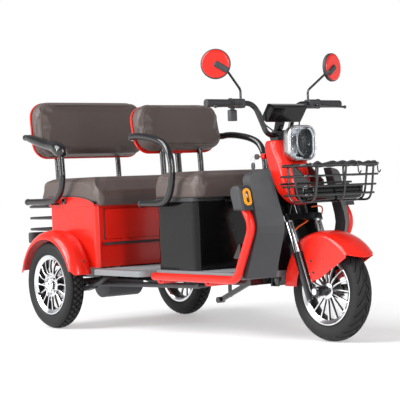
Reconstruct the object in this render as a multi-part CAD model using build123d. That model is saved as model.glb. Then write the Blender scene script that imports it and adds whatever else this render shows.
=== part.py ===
from build123d import *
import math
import os

# Electric tricycle for a rider and two passengers, in millimetres.
# Drawn with x forward from the rear axle, y to the left and z up from the line of the axles.
# On export every piece is moved so that the origin lies on the ground under the middle.

# Wheels and stance
WHEELBASE = 1490
TYRE_R = 205
TYRE_W = 82
RIM_R = 140
RIM_W = 68
RIM_WALL = 7
SPOKES = 16
SPOKE_W = 6.5
HUB_R = 30
AXLE_R = 8
SHAFT_R = 10
DRUM_R = 72
WHEEL_GAP = 27
RUNNING_GAP = 0.15
SEAT_GAP = 0.2

# Steering
RAKE = 21
AXLE_LEAD = 45
LEG_GAP = 18
STANCHION_R = 15
SLIDER_R = 19
SLIDER_TOP = 180
CROWN_BOTTOM = 312
CROWN_T = 26
STEM_R = 14
HEAD_R = 28
HEAD_BOTTOM = 349
HEAD_TOP = 600
STEM_TOP = 684
BAR_R = 11
BAR_Z = 765
BAR_Y = 364
BAR_BACK = 302
GRIP_L = 128
GRIP_R = 16
POD_Y = 178
MIRROR_R = 59
CABLE_R = 3

# Floor and frame
FLOOR_TOP = 75
FLOOR_T = 26
FLOOR_BACK = 252
RAIL_Y = 150
RAIL_W = 40
RAIL_H = 30
RAIL_BACK = -190
STEP_Y = 268
STEP_R = 17
REAR_FLOOR_Y = 338
TUBE_R = 18
MOTOR_R = 70

# Rear body
BODY_BACK = -140
BODY_FRONT = 262
BODY_Y = 305
BODY_TOP = 370
BODY_RECESS = 22
WALL = 5
DOOR_Y = 258
DOOR_BOTTOM = 207
DOOR_TOP = 347
FENDER_GAP = 47
FENDER_T = 4
RACK_BACK = -440
RACK_Y = 250
RACK_R = 6.5
PLATE_T = 8

# Front box and seats
BOX_L = 294
BOX_AHEAD = 9
BOX_Y = 222
BOX_TOP = 367
SEAT_H = 103
ARM_R = 15
ARM_GAP = 21
POST_R = 13
SHELL_T = 16

# Leg shields, fairing, lamp and basket
SHIELD_IN = 165
SHIELD_TOP = 492
FAIRING_Y = 75
FAIRING_T = 4
LAMP_W = 136
LAMP_Z = 594
LAMP_DEEP = 62
BASKET_Y = 200
BASKET_L = 176
BASKET_TOP = 499
BASKET_BOTTOM = 351
WIRE_R = 3.2

# What follows from these
SIN = math.sin(math.radians(RAKE))
COS = math.cos(math.radians(RAKE))
FOOT = (WHEELBASE - AXLE_LEAD * COS, -AXLE_LEAD * SIN)
STEER = Plane(origin=(FOOT[0], 0, FOOT[1]), x_dir=(COS, 0, SIN), z_dir=(-SIN, 0, COS))
MID_X = (WHEELBASE + TYRE_R + RACK_BACK - RACK_R) / 2
TRACK = 2 * (BODY_Y + WHEEL_GAP + TYRE_W / 2)
LEG_Y = TYRE_W / 2 + LEG_GAP + SLIDER_R
FLOOR_UNDER = FLOOR_TOP - FLOOR_T
FLOOR_FRONT = WHEELBASE - FLOOR_BACK
BODY_BOTTOM = FLOOR_TOP + 4
PLATE_Z = BODY_TOP + SEAT_GAP
BOX_MID = (BODY_FRONT + FLOOR_FRONT) / 2 + BOX_AHEAD
BOX_BACK = BOX_MID - BOX_L / 2
BOX_FRONT = BOX_MID + BOX_L / 2
FLOOR_SPLIT = BOX_BACK + 33
BASKET_BACK = WHEELBASE - 66
BASKET_FRONT = BASKET_BACK + BASKET_L
BAR_X = WHEELBASE - BAR_BACK

# Backrests: their middle, lean, half width, height and thickness
BACKS = {
    "front": dict(x=BOX_BACK - 107, z=703, lean=12, half=226, height=214, thick=66, corner=72, post_y=84,
                  foot_z=BOX_TOP - 18 + SEAT_GAP),
    "rear": dict(x=-228, z=735, lean=6, half=312, height=272, thick=70, corner=76, post_y=179,
                 foot_z=PLATE_Z + PLATE_T + SEAT_GAP),
}

pieces = {}


def block(x0, x1, y0, y1, z0, z1):
    return Pos((x0 + x1) / 2, (y0 + y1) / 2, (z0 + z1) / 2) * Box(x1 - x0, y1 - y0, z1 - z0)


def rod(points, bend, radius):
    path = FilletPolyline(*points, radius=bend)
    return sweep(Plane(origin=path @ 0, z_dir=path % 0) * Circle(radius), path=path)


def straight(start, end, radius):
    line = Line(start, end)
    return sweep(Plane(origin=line @ 0, z_dir=line % 0) * Circle(radius), path=line)


def steered(x, y, s):
    """A point given across, to the side and up along the steering axis."""
    return (FOOT[0] + x * COS - s * SIN, y, FOOT[1] + x * SIN + s * COS)


def beyond(base, points):
    """Side-view points whose x counts from base."""
    return [(base + x, z) for x, z in points]


def across(x, z, y0, y1, radius):
    """A round bar along y."""
    return Pos(x, (y0 + y1) / 2, z) * Rot(90, 0, 0) * Cylinder(radius, abs(y1 - y0))


def side_face(points, y):
    """A side-view outline in x and z, standing at y."""
    return make_face(Polyline(*[(x, y, z) for x, z in points], close=True))


def side_prism(points, y0, y1):
    """A side-view outline in x and z, drawn out from y0 to y1."""
    return extrude(side_face(points, y0), amount=abs(y1 - y0), dir=(0, math.copysign(1, y1 - y0), 0))


def front_prism(points, round_at, x0, x1):
    """A front-view outline in y and z, its corners rounded by a radius each, drawn out from x0 to x1."""
    face = make_face(Polyline(*[(x0, y, z) for y, z in points], close=True))
    for (y, z), radius in round_at:
        corner = face.vertices().sort_by_distance((x0, y, z))[0]
        face = fillet(corner, radius)
    return extrude(face, amount=x1 - x0, dir=(1, 0, 0))


def ring(section):
    """A section in radius and y, turned about the y axis."""
    return revolve(make_face(Polyline(*section, close=True)), Axis.Y)


def arch(face, low, high):
    """A section face in radius and y, turned about the y axis between two angles above forward."""
    return revolve(Rot(0, -high, 0) * face, Axis.Y, revolution_arc=high - low)


def flip(shape):
    return mirror(shape, about=Plane.XZ)


def pair(shape):
    return Compound([shape, flip(shape)])


# Tyres and wheels. A wheel is drawn with its outer face towards -y.
BEAD_R = RIM_R - 12
BEAD_Y = RIM_W / 2 - 6
FLANGE_T = 4
HUB_Y = LEG_Y - SLIDER_R - 13
SHAFT_IN = 108
tyre_half = [
    (BEAD_R + SEAT_GAP, BEAD_Y), (RIM_R + 1, RIM_W / 2 - FLANGE_T - 0.4), (RIM_R + 10, TYRE_W * 0.46),
    (RIM_R + 33, TYRE_W / 2), (TYRE_R - 10, TYRE_W * 0.37), (TYRE_R, TYRE_W * 0.16),
]
tyre = ring([(r, -y) for r, y in tyre_half] + tyre_half[::-1])
barrel = ring([
    (RIM_R, -RIM_W / 2), (RIM_R, -RIM_W / 2 + FLANGE_T), (BEAD_R, -BEAD_Y), (BEAD_R, BEAD_Y),
    (RIM_R, RIM_W / 2 - FLANGE_T), (RIM_R, RIM_W / 2), (BEAD_R - 4, RIM_W / 2),
    (BEAD_R - RIM_WALL, 0), (BEAD_R - 4, -RIM_W / 2),
])
spoke_line = [(HUB_R - 4, -28), (BEAD_R - 3, -24), (BEAD_R - 3, -8), (HUB_R - 4, 4)]
spoke = extrude(make_face(Polyline(*spoke_line, close=True)), amount=SPOKE_W / 2, both=True)
web = barrel
for i in range(SPOKES):
    web = web + Rot(0, i * 360 / SPOKES, 0) * spoke
front_rim = web + across(0, 0, -HUB_Y, HUB_Y, HUB_R)
front_rim = front_rim - across(0, 0, -HUB_Y - 1, HUB_Y + 1, AXLE_R + RUNNING_GAP)
rear_rim = web + across(0, 0, -38, 42, HUB_R) + across(0, 0, 22, 42, DRUM_R)
rear_rim = rear_rim + across(0, 0, 42, SHAFT_IN, SHAFT_R)
pieces["front_tyre"] = Pos(WHEELBASE, 0, 0) * tyre
pieces["front_rim"] = Pos(WHEELBASE, 0, 0) * front_rim
pieces["rear_tyre_right"] = Pos(0, -TRACK / 2, 0) * tyre
pieces["rear_rim_right"] = Pos(0, -TRACK / 2, 0) * rear_rim
pieces["rear_tyre_left"] = Pos(0, TRACK / 2, 0) * tyre
pieces["rear_rim_left"] = flip(pieces["rear_rim_right"])

# Fork, with its legs in line with the steering axis and the axle carried ahead of them
LUG_IN = HUB_Y + 6
LUG_OUT = LEG_Y + 8
GUARD_OUT = LEG_Y - 4
GUARD_T = 3.5
TUBE_IN = 60
leg = Pos(0, LEG_Y, (SLIDER_TOP - 20) / 2) * Cylinder(SLIDER_R, SLIDER_TOP + 20)
leg = leg + Pos(0, LEG_Y, SLIDER_TOP - 9) * Cylinder(SLIDER_R + 2.5, 18)
lug = block(-2, AXLE_LEAD, LUG_IN, LUG_OUT, -14, 16) + across(AXLE_LEAD, 0, LUG_IN, LUG_OUT, 20)
tab_out = GUARD_OUT - GUARD_T - SEAT_GAP
tab = block(0, 62, tab_out - 7, tab_out, 84, 142)
socket = Pos(0, LEG_Y, (SLIDER_TOP + TUBE_IN) / 2)
socket = socket * Cylinder(STANCHION_R + SEAT_GAP, SLIDER_TOP - TUBE_IN + 2 * SEAT_GAP)
slider = leg + lug + tab - socket - across(AXLE_LEAD, 0, 0, 200, AXLE_R + SEAT_GAP)
pieces["fork_sliders"] = pair(STEER * slider)
crown_top = CROWN_BOTTOM + CROWN_T
stanchion = Pos(0, LEG_Y, (crown_top + TUBE_IN) / 2) * Cylinder(STANCHION_R, crown_top - TUBE_IN)
pieces["fork_stanchions"] = pair(STEER * stanchion)
crown = Pos(0, 0, CROWN_BOTTOM + CROWN_T / 2) * Box(54, 2 * LEG_Y, CROWN_T)
for sign in (-1, 1):
    crown = crown + Pos(0, sign * LEG_Y, CROWN_BOTTOM + CROWN_T / 2) * Cylinder(STANCHION_R + 8, CROWN_T)
crown = crown + Pos(0, 0, (CROWN_BOTTOM + STEM_TOP) / 2) * Cylinder(STEM_R, STEM_TOP - CROWN_BOTTOM)
crown = crown + Pos(0, 0, (crown_top + HEAD_BOTTOM - 1) / 2) * Cylinder(HEAD_R - 3, HEAD_BOTTOM - 1 - crown_top)
for sign in (-1, 1):
    crown = crown - Pos(0, sign * LEG_Y, CROWN_BOTTOM) * Cylinder(STANCHION_R + SEAT_GAP, 4 * CROWN_T)
pieces["fork_crown"] = STEER * crown
axle = across(AXLE_LEAD, 0, -LUG_OUT - 10, LUG_OUT + 10, AXLE_R)
for sign in (-1, 1):
    axle = axle + across(AXLE_LEAD, 0, sign * (LUG_OUT + SEAT_GAP), sign * (LUG_OUT + 9), 13)
pieces["front_axle"] = STEER * axle

# Front fender: a narrow part between the legs and a wide hood ahead of them
GUARD_R = TYRE_R + 33
GUARD_IN = TYRE_W / 2 + 12
SHOULDER_R = 14


def guard_face(outer, half, low, crown, corner):
    """Upright sides under a crowned top, in radius and y."""
    sides = Polyline((outer - crown, half), (low, half), (low, -half), (outer - crown, -half))
    top = ThreePointArc((outer - crown, -half), (outer, 0), (outer - crown, half))
    face = make_face([*sides.edges(), top])
    return fillet(face.vertices().group_by(Axis.X)[-1], corner)


def guard(outer, half, low, crown, start, end):
    section = guard_face(outer, half, low, crown, SHOULDER_R)
    section = section - guard_face(outer - GUARD_T, half - GUARD_T, low - 1, crown, SHOULDER_R - GUARD_T)
    return Pos(WHEELBASE, 0, 0) * arch(section, start, end)


narrow = guard(GUARD_R, GUARD_IN, 150, 12, 84, 178)
narrow = narrow - block(WHEELBASE - 300, WHEELBASE, -100, 100, -TYRE_R, 11)
hood = guard(GUARD_R + 2, GUARD_OUT, 90, 16, 34, 125)
hood_line = beyond(WHEELBASE, [(-44, 21), (310, 216), (310, 395), (-190, 395), (-190, 21)])
hood = hood & STEER * block(SLIDER_R + 6, 400, -100, 100, -400, 400) & side_prism(hood_line, -100, 100)
pieces["front_fender"] = narrow + hood

# Head tube with its down tube and the bracket inside the fairing
DOWN_R = 19
DOWN_FOOT = (FLOOR_FRONT - 73, 0, FLOOR_UNDER - 10)
DOWN_HEAD = steered(0, 0, 430)
head_mid = (HEAD_BOTTOM + HEAD_TOP) / 2
head = Pos(0, 0, head_mid) * Cylinder(HEAD_R, HEAD_TOP - HEAD_BOTTOM)
head = STEER * (head + Pos(0, 0, HEAD_TOP - 40) * Box(40, 2 * (FAIRING_Y - FAIRING_T - SEAT_GAP), 8))
down = straight(DOWN_FOOT, DOWN_HEAD, DOWN_R)
down = down - block(DOWN_FOOT[0] - 100, DOWN_FOOT[0] + 100, -60, 60, -TYRE_R, FLOOR_UNDER)
head = head + down - STEER * Pos(0, 0, head_mid) * Cylinder(STEM_R + RUNNING_GAP, HEAD_TOP - HEAD_BOTTOM + 40)
pieces["head_tube"] = head

# Frame: two rails under the floor, raised over the rear axle, and their cross members
RAIL_FRONT = FLOOR_FRONT - 48
RAIL_STEP = BODY_FRONT - 20
rail_in = RAIL_Y - RAIL_W / 2
rail_out = RAIL_Y + RAIL_W / 2
rail = block(RAIL_STEP - 40, RAIL_FRONT, rail_in, rail_out, FLOOR_UNDER - RAIL_H, FLOOR_UNDER)
rail = rail + block(RAIL_BACK, RAIL_STEP, rail_in, rail_out, TUBE_R + 1, BODY_BOTTOM)
frame = rail + flip(rail)
for x in (BODY_FRONT + 38, FLOOR_SPLIT + 15, RAIL_FRONT - 25):
    frame = frame + block(x - 20, x + 20, -RAIL_Y, RAIL_Y, FLOOR_UNDER - RAIL_H, FLOOR_UNDER)
frame = frame + block(RAIL_BACK, RAIL_BACK + 40, -RAIL_Y, RAIL_Y, TUBE_R + 1, BODY_BOTTOM)
pieces["frame"] = frame

# Floor plates with raised ribs where feet stand
RIB_H = 2
RIB_W = 9
RIB_PITCH = 30
FRONT_FLOOR_Y = STEP_Y - STEP_R - SEAT_GAP


def ribs(x0, x1, half):
    count = int(half // RIB_PITCH)
    return [block(x0, x1, i * RIB_PITCH - RIB_W / 2, i * RIB_PITCH + RIB_W / 2, FLOOR_TOP - 1, FLOOR_TOP + RIB_H)
            for i in range(-count, count + 1)]


rear_floor = block(BODY_FRONT - 2, FLOOR_SPLIT - SEAT_GAP, -REAR_FLOOR_Y, REAR_FLOOR_Y, FLOOR_UNDER, FLOOR_TOP)
rear_floor = fillet(rear_floor.edges().filter_by(Axis.Z), 30)
rear_floor = fillet(rear_floor.edges().group_by(Axis.Z)[-1], 8)
pieces["rear_floor"] = rear_floor + ribs(BODY_FRONT + 30, BOX_BACK - 20, REAR_FLOOR_Y - 40)
front_floor = block(FLOOR_SPLIT, FLOOR_FRONT, -FRONT_FLOOR_Y, FRONT_FLOOR_Y, FLOOR_UNDER, FLOOR_TOP)
front_floor = front_floor + ribs(BOX_FRONT + 30, FLOOR_FRONT - 116, FRONT_FLOOR_Y - 30)
pieces["front_floor"] = front_floor - straight(DOWN_FOOT, DOWN_HEAD, DOWN_R + 1)

# Step bars beside the front floor, rising past the leg shields to the corner lamps
POD_BOTTOM = 331
POD_IN = STEP_Y - STEP_R - 1
POD_W = 56
bar_line = [(FLOOR_SPLIT + 6, FLOOR_UNDER)]
bar_line = bar_line + beyond(FLOOR_FRONT, [(-16, FLOOR_UNDER), (96, 269), (42, 353)])
bar = rod([(x, STEP_Y, z) for x, z in bar_line], (55, 70), STEP_R)
bar = bar - block(FLOOR_FRONT, FLOOR_FRONT + 200, STEP_Y - 40, STEP_Y + 40, POD_BOTTOM - SEAT_GAP, 500)
for x in (FLOOR_SPLIT + 45, FLOOR_FRONT - 210):
    stay = side_prism(
        [(x - 34, FLOOR_UNDER - 8), (x + 34, FLOOR_UNDER - 8), (x + 16, FLOOR_UNDER - 30), (x - 16, FLOOR_UNDER - 30)],
        rail_out + SEAT_GAP, STEP_Y - 4)
    bar = bar + (stay - side_prism([(x - 12, FLOOR_UNDER - 14), (x + 12, FLOOR_UNDER - 14), (x, FLOOR_UNDER - 26)],
                                   rail_out - 1, STEP_Y))
pieces["step_bars"] = pair(bar)
pod_line = beyond(FLOOR_FRONT, [(24, POD_BOTTOM), (88, POD_BOTTOM), (65, 431), (-6, 431)])
pod = side_prism(pod_line, POD_IN, POD_IN + POD_W)
pod = fillet(pod.edges().filter_by(Axis.Y).group_by(Axis.Z)[-1], 28)
pod = fillet(pod.faces().sort_by(Axis.Y)[-1].edges(), 10)
pieces["lamp_pods"] = pair(pod)
pod_lean = math.degrees(math.atan2(23, 431 - POD_BOTTOM))
lens = extrude(SlotOverall(70, 36), 6) - extrude(SlotOverall(48, 14), 6)
lens = Pos(FLOOR_FRONT + 76, POD_IN + POD_W / 2 - 3, 384) * Rot(0, 90 - pod_lean, 0) * lens
pieces["corner_lamps"] = pair(lens - pod)

# Leg shields: front and back faces of the inner and the outer edge, counted from the floor's front end
SHIELD_OUT = STEP_Y - STEP_R - 2
SHIELD_ROWS = (
    # height, inner front, inner back, outer front, outer back
    (57, 108, SEAT_GAP, 26, SEAT_GAP),
    (150, 137, 60, 62, 22),
    (238, 168, 106, 99, 46),
    (266, 172, 112, 105, 50),
    (298, 166, 107, 101, 48),
    (SHIELD_TOP, 95, 50, 58, 14),
)
inner = [(front, z) for z, front, _, _, _ in SHIELD_ROWS]
inner = inner + [(back, z) for z, _, back, _, _ in SHIELD_ROWS[::-1]]
outer = [(front, z) for z, _, _, front, _ in SHIELD_ROWS]
outer = outer + [(back, z) for z, _, _, _, back in SHIELD_ROWS[::-1]]
shield = loft([side_face(beyond(FLOOR_FRONT, inner), SHIELD_IN),
               side_face(beyond(FLOOR_FRONT, outer), SHIELD_OUT)], ruled=True)
shield_view = [(SHIELD_IN - 5, 50), (SHIELD_OUT, 50), (SHIELD_OUT, SHIELD_TOP - 12), (SHIELD_IN - 5, SHIELD_TOP)]
shield_round = [((SHIELD_OUT, SHIELD_TOP - 12), 42)]
shield = shield & front_prism(shield_view, shield_round, FLOOR_FRONT - 20, FLOOR_FRONT + 200)
pieces["leg_shields"] = pair(shield)

# Inner panel between the leg shields
panel_line = beyond(FLOOR_FRONT, [(-6, FLOOR_TOP), (18, 175), (18, 235), (6, 340), (-44, 485)])
panel = side_prism(panel_line + [(x - WALL, z) for x, z in reversed(panel_line)], SEAT_GAP - SHIELD_IN,
                   SHIELD_IN - SEAT_GAP)
pieces["inner_panel"] = panel - straight(DOWN_FOOT, DOWN_HEAD, DOWN_R + 1)

# Fairing round the head tube: a side outline cut to a tongue in front view
fairing_line = beyond(WHEELBASE, [(-330, 610), (-202, 610), (-202, 523), (-164, 521), (-124, 357), (-190, 343),
                                  (-240, 395)])


def fairing_form(inset):
    """The fairing's outside, or its inside where inset is the wall."""
    face = side_face(fairing_line, -FAIRING_Y)
    if inset:
        face = offset(face, amount=-inset, kind=Kind.INTERSECTION)
    form = extrude(face, amount=2 * FAIRING_Y, dir=(0, 1, 0))
    side = FAIRING_Y - inset
    tip = 330 + inset
    tongue = [(-side, 620), (side, 620), (side, 470), (side - 32, tip), (32 - side, tip), (-side, 470)]
    corners = [((side, 470), 150), ((-side, 470), 150), ((side - 32, tip), 34), ((32 - side, tip), 34)]
    return form & front_prism(tongue, corners, WHEELBASE - 340, WHEELBASE - 100)


fairing = fairing_form(0) - fairing_form(FAIRING_T)
for s in (380, 680):
    fairing = fairing - STEER * Pos(0, 0, s) * Cylinder(HEAD_R + 16, 160)
pieces["front_fairing"] = fairing - straight(DOWN_FOOT, DOWN_HEAD, DOWN_R + 3)

# Headlight
LAMP_BACK = WHEELBASE - 202 + SEAT_GAP
LAMP_FRONT = LAMP_BACK + LAMP_DEEP
BEZEL_T = 14
BEZEL_IN = 10
BEZEL_W = 15


def lamp_square(width, x):
    facing = Plane(origin=(x, 0, LAMP_Z), x_dir=(0, 1, 0), z_dir=(1, 0, 0))
    return facing * RectangleRounded(width, width, width / 4)


lamp_body = loft([lamp_square(LAMP_W - 42, LAMP_BACK), lamp_square(LAMP_W - 6, LAMP_FRONT - BEZEL_IN)], ruled=True)
pieces["headlight_body"] = lamp_body
bezel_x = LAMP_FRONT - BEZEL_IN + SEAT_GAP
bezel = extrude(lamp_square(LAMP_W, bezel_x), BEZEL_T)
pieces["headlight_bezel"] = bezel - extrude(lamp_square(LAMP_W - 2 * BEZEL_W, bezel_x), BEZEL_T)
lens = extrude(lamp_square(LAMP_W - 2 * BEZEL_W - 2 * SEAT_GAP, bezel_x), BEZEL_T - 4)
pieces["headlight_lens"] = lens

# Basket of bent wire with a tray in its bottom
FLARE = 24
TRAY_H = 34
TRAY_T = 3


def loop_at(z, radius):
    inset = FLARE * (BASKET_TOP - z) / (BASKET_TOP - BASKET_BOTTOM)
    front = BASKET_FRONT - inset
    side = BASKET_Y - inset
    half = rod([(BASKET_BACK, 0, z), (BASKET_BACK, side, z), (front, side, z), (front, 0, z)], (30, 50), radius)
    return half + flip(half)


low_z = BASKET_BOTTOM + WIRE_R
basket = loop_at(BASKET_TOP, WIRE_R + 1.5)
for drop in (40, 80, 116):
    basket = basket + loop_at(BASKET_TOP - drop, WIRE_R)
for x in (BASKET_BACK + 30, BASKET_BACK + 90):
    basket = basket + rod(
        [(x, -BASKET_Y, BASKET_TOP), (x, FLARE - BASKET_Y, low_z), (x, BASKET_Y - FLARE, low_z),
         (x, BASKET_Y, BASKET_TOP)], 14, WIRE_R - 0.4)
for share in (-0.6, -0.2, 0.2, 0.6):
    y = share * BASKET_Y
    basket = basket + rod(
        [(BASKET_FRONT, y, BASKET_TOP), (BASKET_FRONT - FLARE, y, low_z), (BASKET_BACK, y, low_z),
         (BASKET_BACK, y, BASKET_TOP)], 14, WIRE_R - 0.7)
pieces["front_basket"] = basket
tray_z = BASKET_BOTTOM + 2 * WIRE_R + SEAT_GAP
tray_y = BASKET_Y - FLARE - 21
tray = block(BASKET_BACK + 12, BASKET_FRONT - FLARE - 21, -tray_y, tray_y, tray_z, tray_z + TRAY_H)
tray = tray - block(BASKET_BACK + 12 + TRAY_T, BASKET_FRONT - FLARE - 21 - TRAY_T, TRAY_T - tray_y, tray_y - TRAY_T,
                    tray_z + TRAY_T, tray_z + TRAY_H + 1)
pieces["basket_tray"] = tray
stay_end = BASKET_BACK - WIRE_R - SEAT_GAP
stay = side_prism([(WHEELBASE - 164, 513), (WHEELBASE - 145, 417), (stay_end, 417), (stay_end, 441)], 36, 44)
stay = stay - side_prism(fairing_line, 0, 2 * FAIRING_Y)
pieces["basket_stays"] = pair(stay)

# Front box with the battery inside; its lid is the rider's seat
BAND_DEEP = 3
FRONT_LEG_Z = BOX_TOP - 8
FRONT_ARM_Y = max(BOX_Y + 4, BACKS["front"]["half"]) + ARM_GAP + ARM_R
HINGE_X = BOX_FRONT + 12
HINGE_Z = BOX_TOP + 2
PIN_R = 5


def box_form(inset, z0, z1):
    form = block(BOX_BACK + inset, BOX_FRONT - inset, inset - BOX_Y, BOX_Y - inset, z0, z1)
    return fillet(form.edges().filter_by(Axis.Z), 34 - inset)


box = box_form(0, FLOOR_TOP + SEAT_GAP, BOX_TOP)
box = box - (box_form(0, BOX_TOP - 80, BOX_TOP - 50) - box_form(BAND_DEEP, BOX_TOP - 80, BOX_TOP - 50))
box = box - box_form(WALL + BAND_DEEP, FLOOR_TOP + WALL, BOX_TOP + 5)
box = box + block(BOX_BACK - 75, BOX_BACK + 6, -110, 110, BOX_TOP - 30, BOX_TOP - 18)
for x in (BOX_BACK + 22, BOX_BACK + 93):
    ear = block(x - 14, x + 14, BOX_Y - 6, FRONT_ARM_Y, FRONT_LEG_Z - 8, FRONT_LEG_Z)
    box = box + ear + flip(ear)
lug = block(BOX_FRONT - 6, HINGE_X, 48, 62, HINGE_Z - 26, HINGE_Z) + across(HINGE_X, HINGE_Z, 48, 62, 9)
lug = lug - across(HINGE_X, HINGE_Z, 40, 70, PIN_R + RUNNING_GAP)
box = box + lug + flip(lug)
for sign in (-1, 1):
    y = sign * FRONT_ARM_Y
    box = box - straight((BOX_BACK - 100, y, FRONT_LEG_Z), (BOX_FRONT, y, FRONT_LEG_Z), ARM_R + SEAT_GAP)
pieces["front_box"] = box
cell_low = FLOOR_TOP + WALL + SEAT_GAP
pieces["battery"] = block(BOX_MID - 94, BOX_MID + 96, -BOX_Y + 27, BOX_Y - 27, cell_low, cell_low + 170)

SEAT_LOW = BOX_TOP + 3
BASE_T = 16
SEAT_TOP = SEAT_LOW + BASE_T + SEAT_H
base = block(BOX_BACK - 8, BOX_FRONT - 2, -BOX_Y - 4, BOX_Y + 4, SEAT_LOW, SEAT_LOW + BASE_T)
base = fillet(base.edges().filter_by(Axis.Z), 30)
base = base + block(BOX_FRONT - 40, HINGE_X, -44, 44, SEAT_LOW + BASE_T / 2, SEAT_LOW + BASE_T)
base = base + block(HINGE_X - PIN_R, HINGE_X + PIN_R, -44, 44, HINGE_Z, SEAT_LOW + 12)
base = base + across(HINGE_X, HINGE_Z, -66, 66, PIN_R)
relief = block(BOX_FRONT - 12, BOX_FRONT + 20, 45, 65, HINGE_Z + PIN_R, SEAT_LOW + BASE_T + 10)
pieces["front_seat_base"] = base - relief - flip(relief)
cushion_low = SEAT_LOW + BASE_T + SEAT_GAP
cushion = block(BOX_BACK - 12, BOX_FRONT + 34, -BOX_Y - 6, BOX_Y + 6, cushion_low, SEAT_TOP)
cushion = fillet(cushion.edges().filter_by(Axis.Z), 45)
pieces["front_cushion"] = fillet(cushion.edges().group_by(Axis.Z)[-1], 28)

# Backrests lean on posts that rise behind their shells, under the cross run of the arm hoops
cross_run = {}
for name, b in BACKS.items():
    tilt = Pos(b["x"], 0, b["z"]) * Rot(0, -b["lean"], 0)
    pad = Box(b["thick"], 2 * b["half"], b["height"])
    pad = fillet(pad.edges().filter_by(Axis.X), b["corner"])
    pieces[name + "_backrest"] = tilt * fillet(pad.faces().sort_by(Axis.X)[-1].edges(), 20)
    shell = Box(SHELL_T, 2 * b["half"] + 4, b["height"] + 4)
    shell = fillet(shell.edges().filter_by(Axis.X), b["corner"] + 2)
    shell = fillet(shell.faces().sort_by(Axis.X)[0].edges(), 8)
    pieces[name + "_back_shell"] = tilt * Pos(-b["thick"] / 2 - SHELL_T / 2 - SEAT_GAP, 0, 0) * shell
    back = -b["thick"] / 2 - SHELL_T - 2 * SEAT_GAP
    cross_run[name] = (tilt * Pos(back - ARM_R, 0, -28)).position
    top = (tilt * Pos(back - POST_R, b["post_y"], -28 - ARM_R - 3)).position
    low = (tilt * Pos(back - POST_R, b["post_y"], -b["height"] / 2 - 50)).position
    pieces[name + "_back_posts"] = pair(rod([tuple(top), tuple(low), (low.X, low.Y, b["foot_z"])], 60, POST_R))

# Arm hoops: a lower leg, a post, an arm, and a cross run behind the backrest
REAR_LEG_Z = PLATE_Z + 16
HOOPS = {
    "front": dict(y=FRONT_ARM_Y, back=BOX_BACK - 52, knee=BOX_BACK + 126, leg_z=FRONT_LEG_Z,
                  elbow_x=BOX_BACK + 190, elbow_z=607, bends=(62, 66, 27, 27, 66, 62)),
    "rear": dict(y=max(BODY_Y + ARM_GAP - 1, BACKS["rear"]["half"] + ARM_GAP - 8) + ARM_R, back=-286, knee=-4,
                 leg_z=REAR_LEG_Z, elbow_x=62, elbow_z=631, bends=(60, 36, 27, 27, 36, 60)),
}
for name, h in HOOPS.items():
    run = cross_run[name]
    half = [(h["back"], h["leg_z"]), (h["knee"], h["leg_z"]), (h["elbow_x"], h["elbow_z"]), (run.X, run.Z)]
    right = [(x, -h["y"], z) for x, z in half]
    left = [(x, h["y"], z) for x, z in reversed(half)]
    pieces[name + "_arm_hoop"] = rod(right + left, h["bends"], ARM_R)

# Moulded arm rests on the rear hoop: a round head at the elbow that thins out towards the back
REST_L = 280
HEAD_REST_R = 31
elbow = Vector(HOOPS["rear"]["elbow_x"], HOOPS["rear"]["y"], HOOPS["rear"]["elbow_z"])
arm_way = (Vector(cross_run["rear"].X, HOOPS["rear"]["y"], cross_run["rear"].Z) - elbow).normalized()
rest_line = [
    ThreePointArc((0, -HEAD_REST_R), (HEAD_REST_R * 0.7071, -HEAD_REST_R * 0.7071), (HEAD_REST_R, 0)),
    Line((HEAD_REST_R, 0), (HEAD_REST_R - 5, 34)),
    Line((HEAD_REST_R - 5, 34), (ARM_R + 5, 110)),
    Line((ARM_R + 5, 110), (ARM_R + 3, REST_L)),
    Line((ARM_R + 3, REST_L), (0, REST_L)),
    Line((0, REST_L), (0, -HEAD_REST_R)),
]
rest = revolve(make_face(rest_line), Axis.Y)
rest_at = Plane(origin=elbow + arm_way * 14, x_dir=(0, 1, 0), z_dir=Vector(0, 1, 0).cross(arm_way))
rest = rest_at * rest
pieces["rear_arm_hoop"] = pieces["rear_arm_hoop"] + rest + flip(rest)

# Rear body with a storage door in its front wall
DOOR_GAP = 2
KNUCKLE_R = 6
DOOR_PROUD = 8
body = block(BODY_BACK, BODY_FRONT, -BODY_Y, BODY_Y, BODY_BOTTOM, BODY_TOP)
body = fillet(body.edges().filter_by(Axis.Z), 24)
body = body - block(BODY_FRONT - BODY_RECESS, BODY_FRONT + 1, 19 - BODY_Y, BODY_Y - 19, BODY_BOTTOM - 1,
                    DOOR_BOTTOM - 14)
room_front = BODY_FRONT - BODY_RECESS - WALL
room = block(BODY_BACK + WALL, room_front, WALL - BODY_Y, BODY_Y - WALL, BODY_BOTTOM + WALL, BODY_TOP - WALL)
body = body - fillet(room.edges().filter_by(Axis.Z), 19)
body = body - block(room_front - 20, BODY_FRONT + 20, -DOOR_Y, DOOR_Y, DOOR_BOTTOM, DOOR_TOP)
DOOR_AXIS = (BODY_FRONT + KNUCKLE_R + SEAT_GAP, DOOR_BOTTOM - KNUCKLE_R - 1)
DOOR_HINGES = (-DOOR_Y + 98, DOOR_Y - 98)
for y in DOOR_HINGES:
    for end in (-26, 10.2):
        knuckle = across(DOOR_AXIS[0], DOOR_AXIS[1], y + end, y + end + 15.8, KNUCKLE_R)
        body = body + knuckle
        body = body + block(BODY_FRONT - 1, DOOR_AXIS[0], y + end, y + end + 15.8, DOOR_AXIS[1] - 6, DOOR_AXIS[1])
    body = body + across(DOOR_AXIS[0], DOOR_AXIS[1], y - 20, y + 20, 3)
pieces["rear_body"] = body
door_y = DOOR_Y - DOOR_GAP
door = block(BODY_FRONT - WALL, BODY_FRONT + DOOR_PROUD, -door_y, door_y, DOOR_BOTTOM + DOOR_GAP,
             DOOR_TOP - DOOR_GAP)
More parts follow.
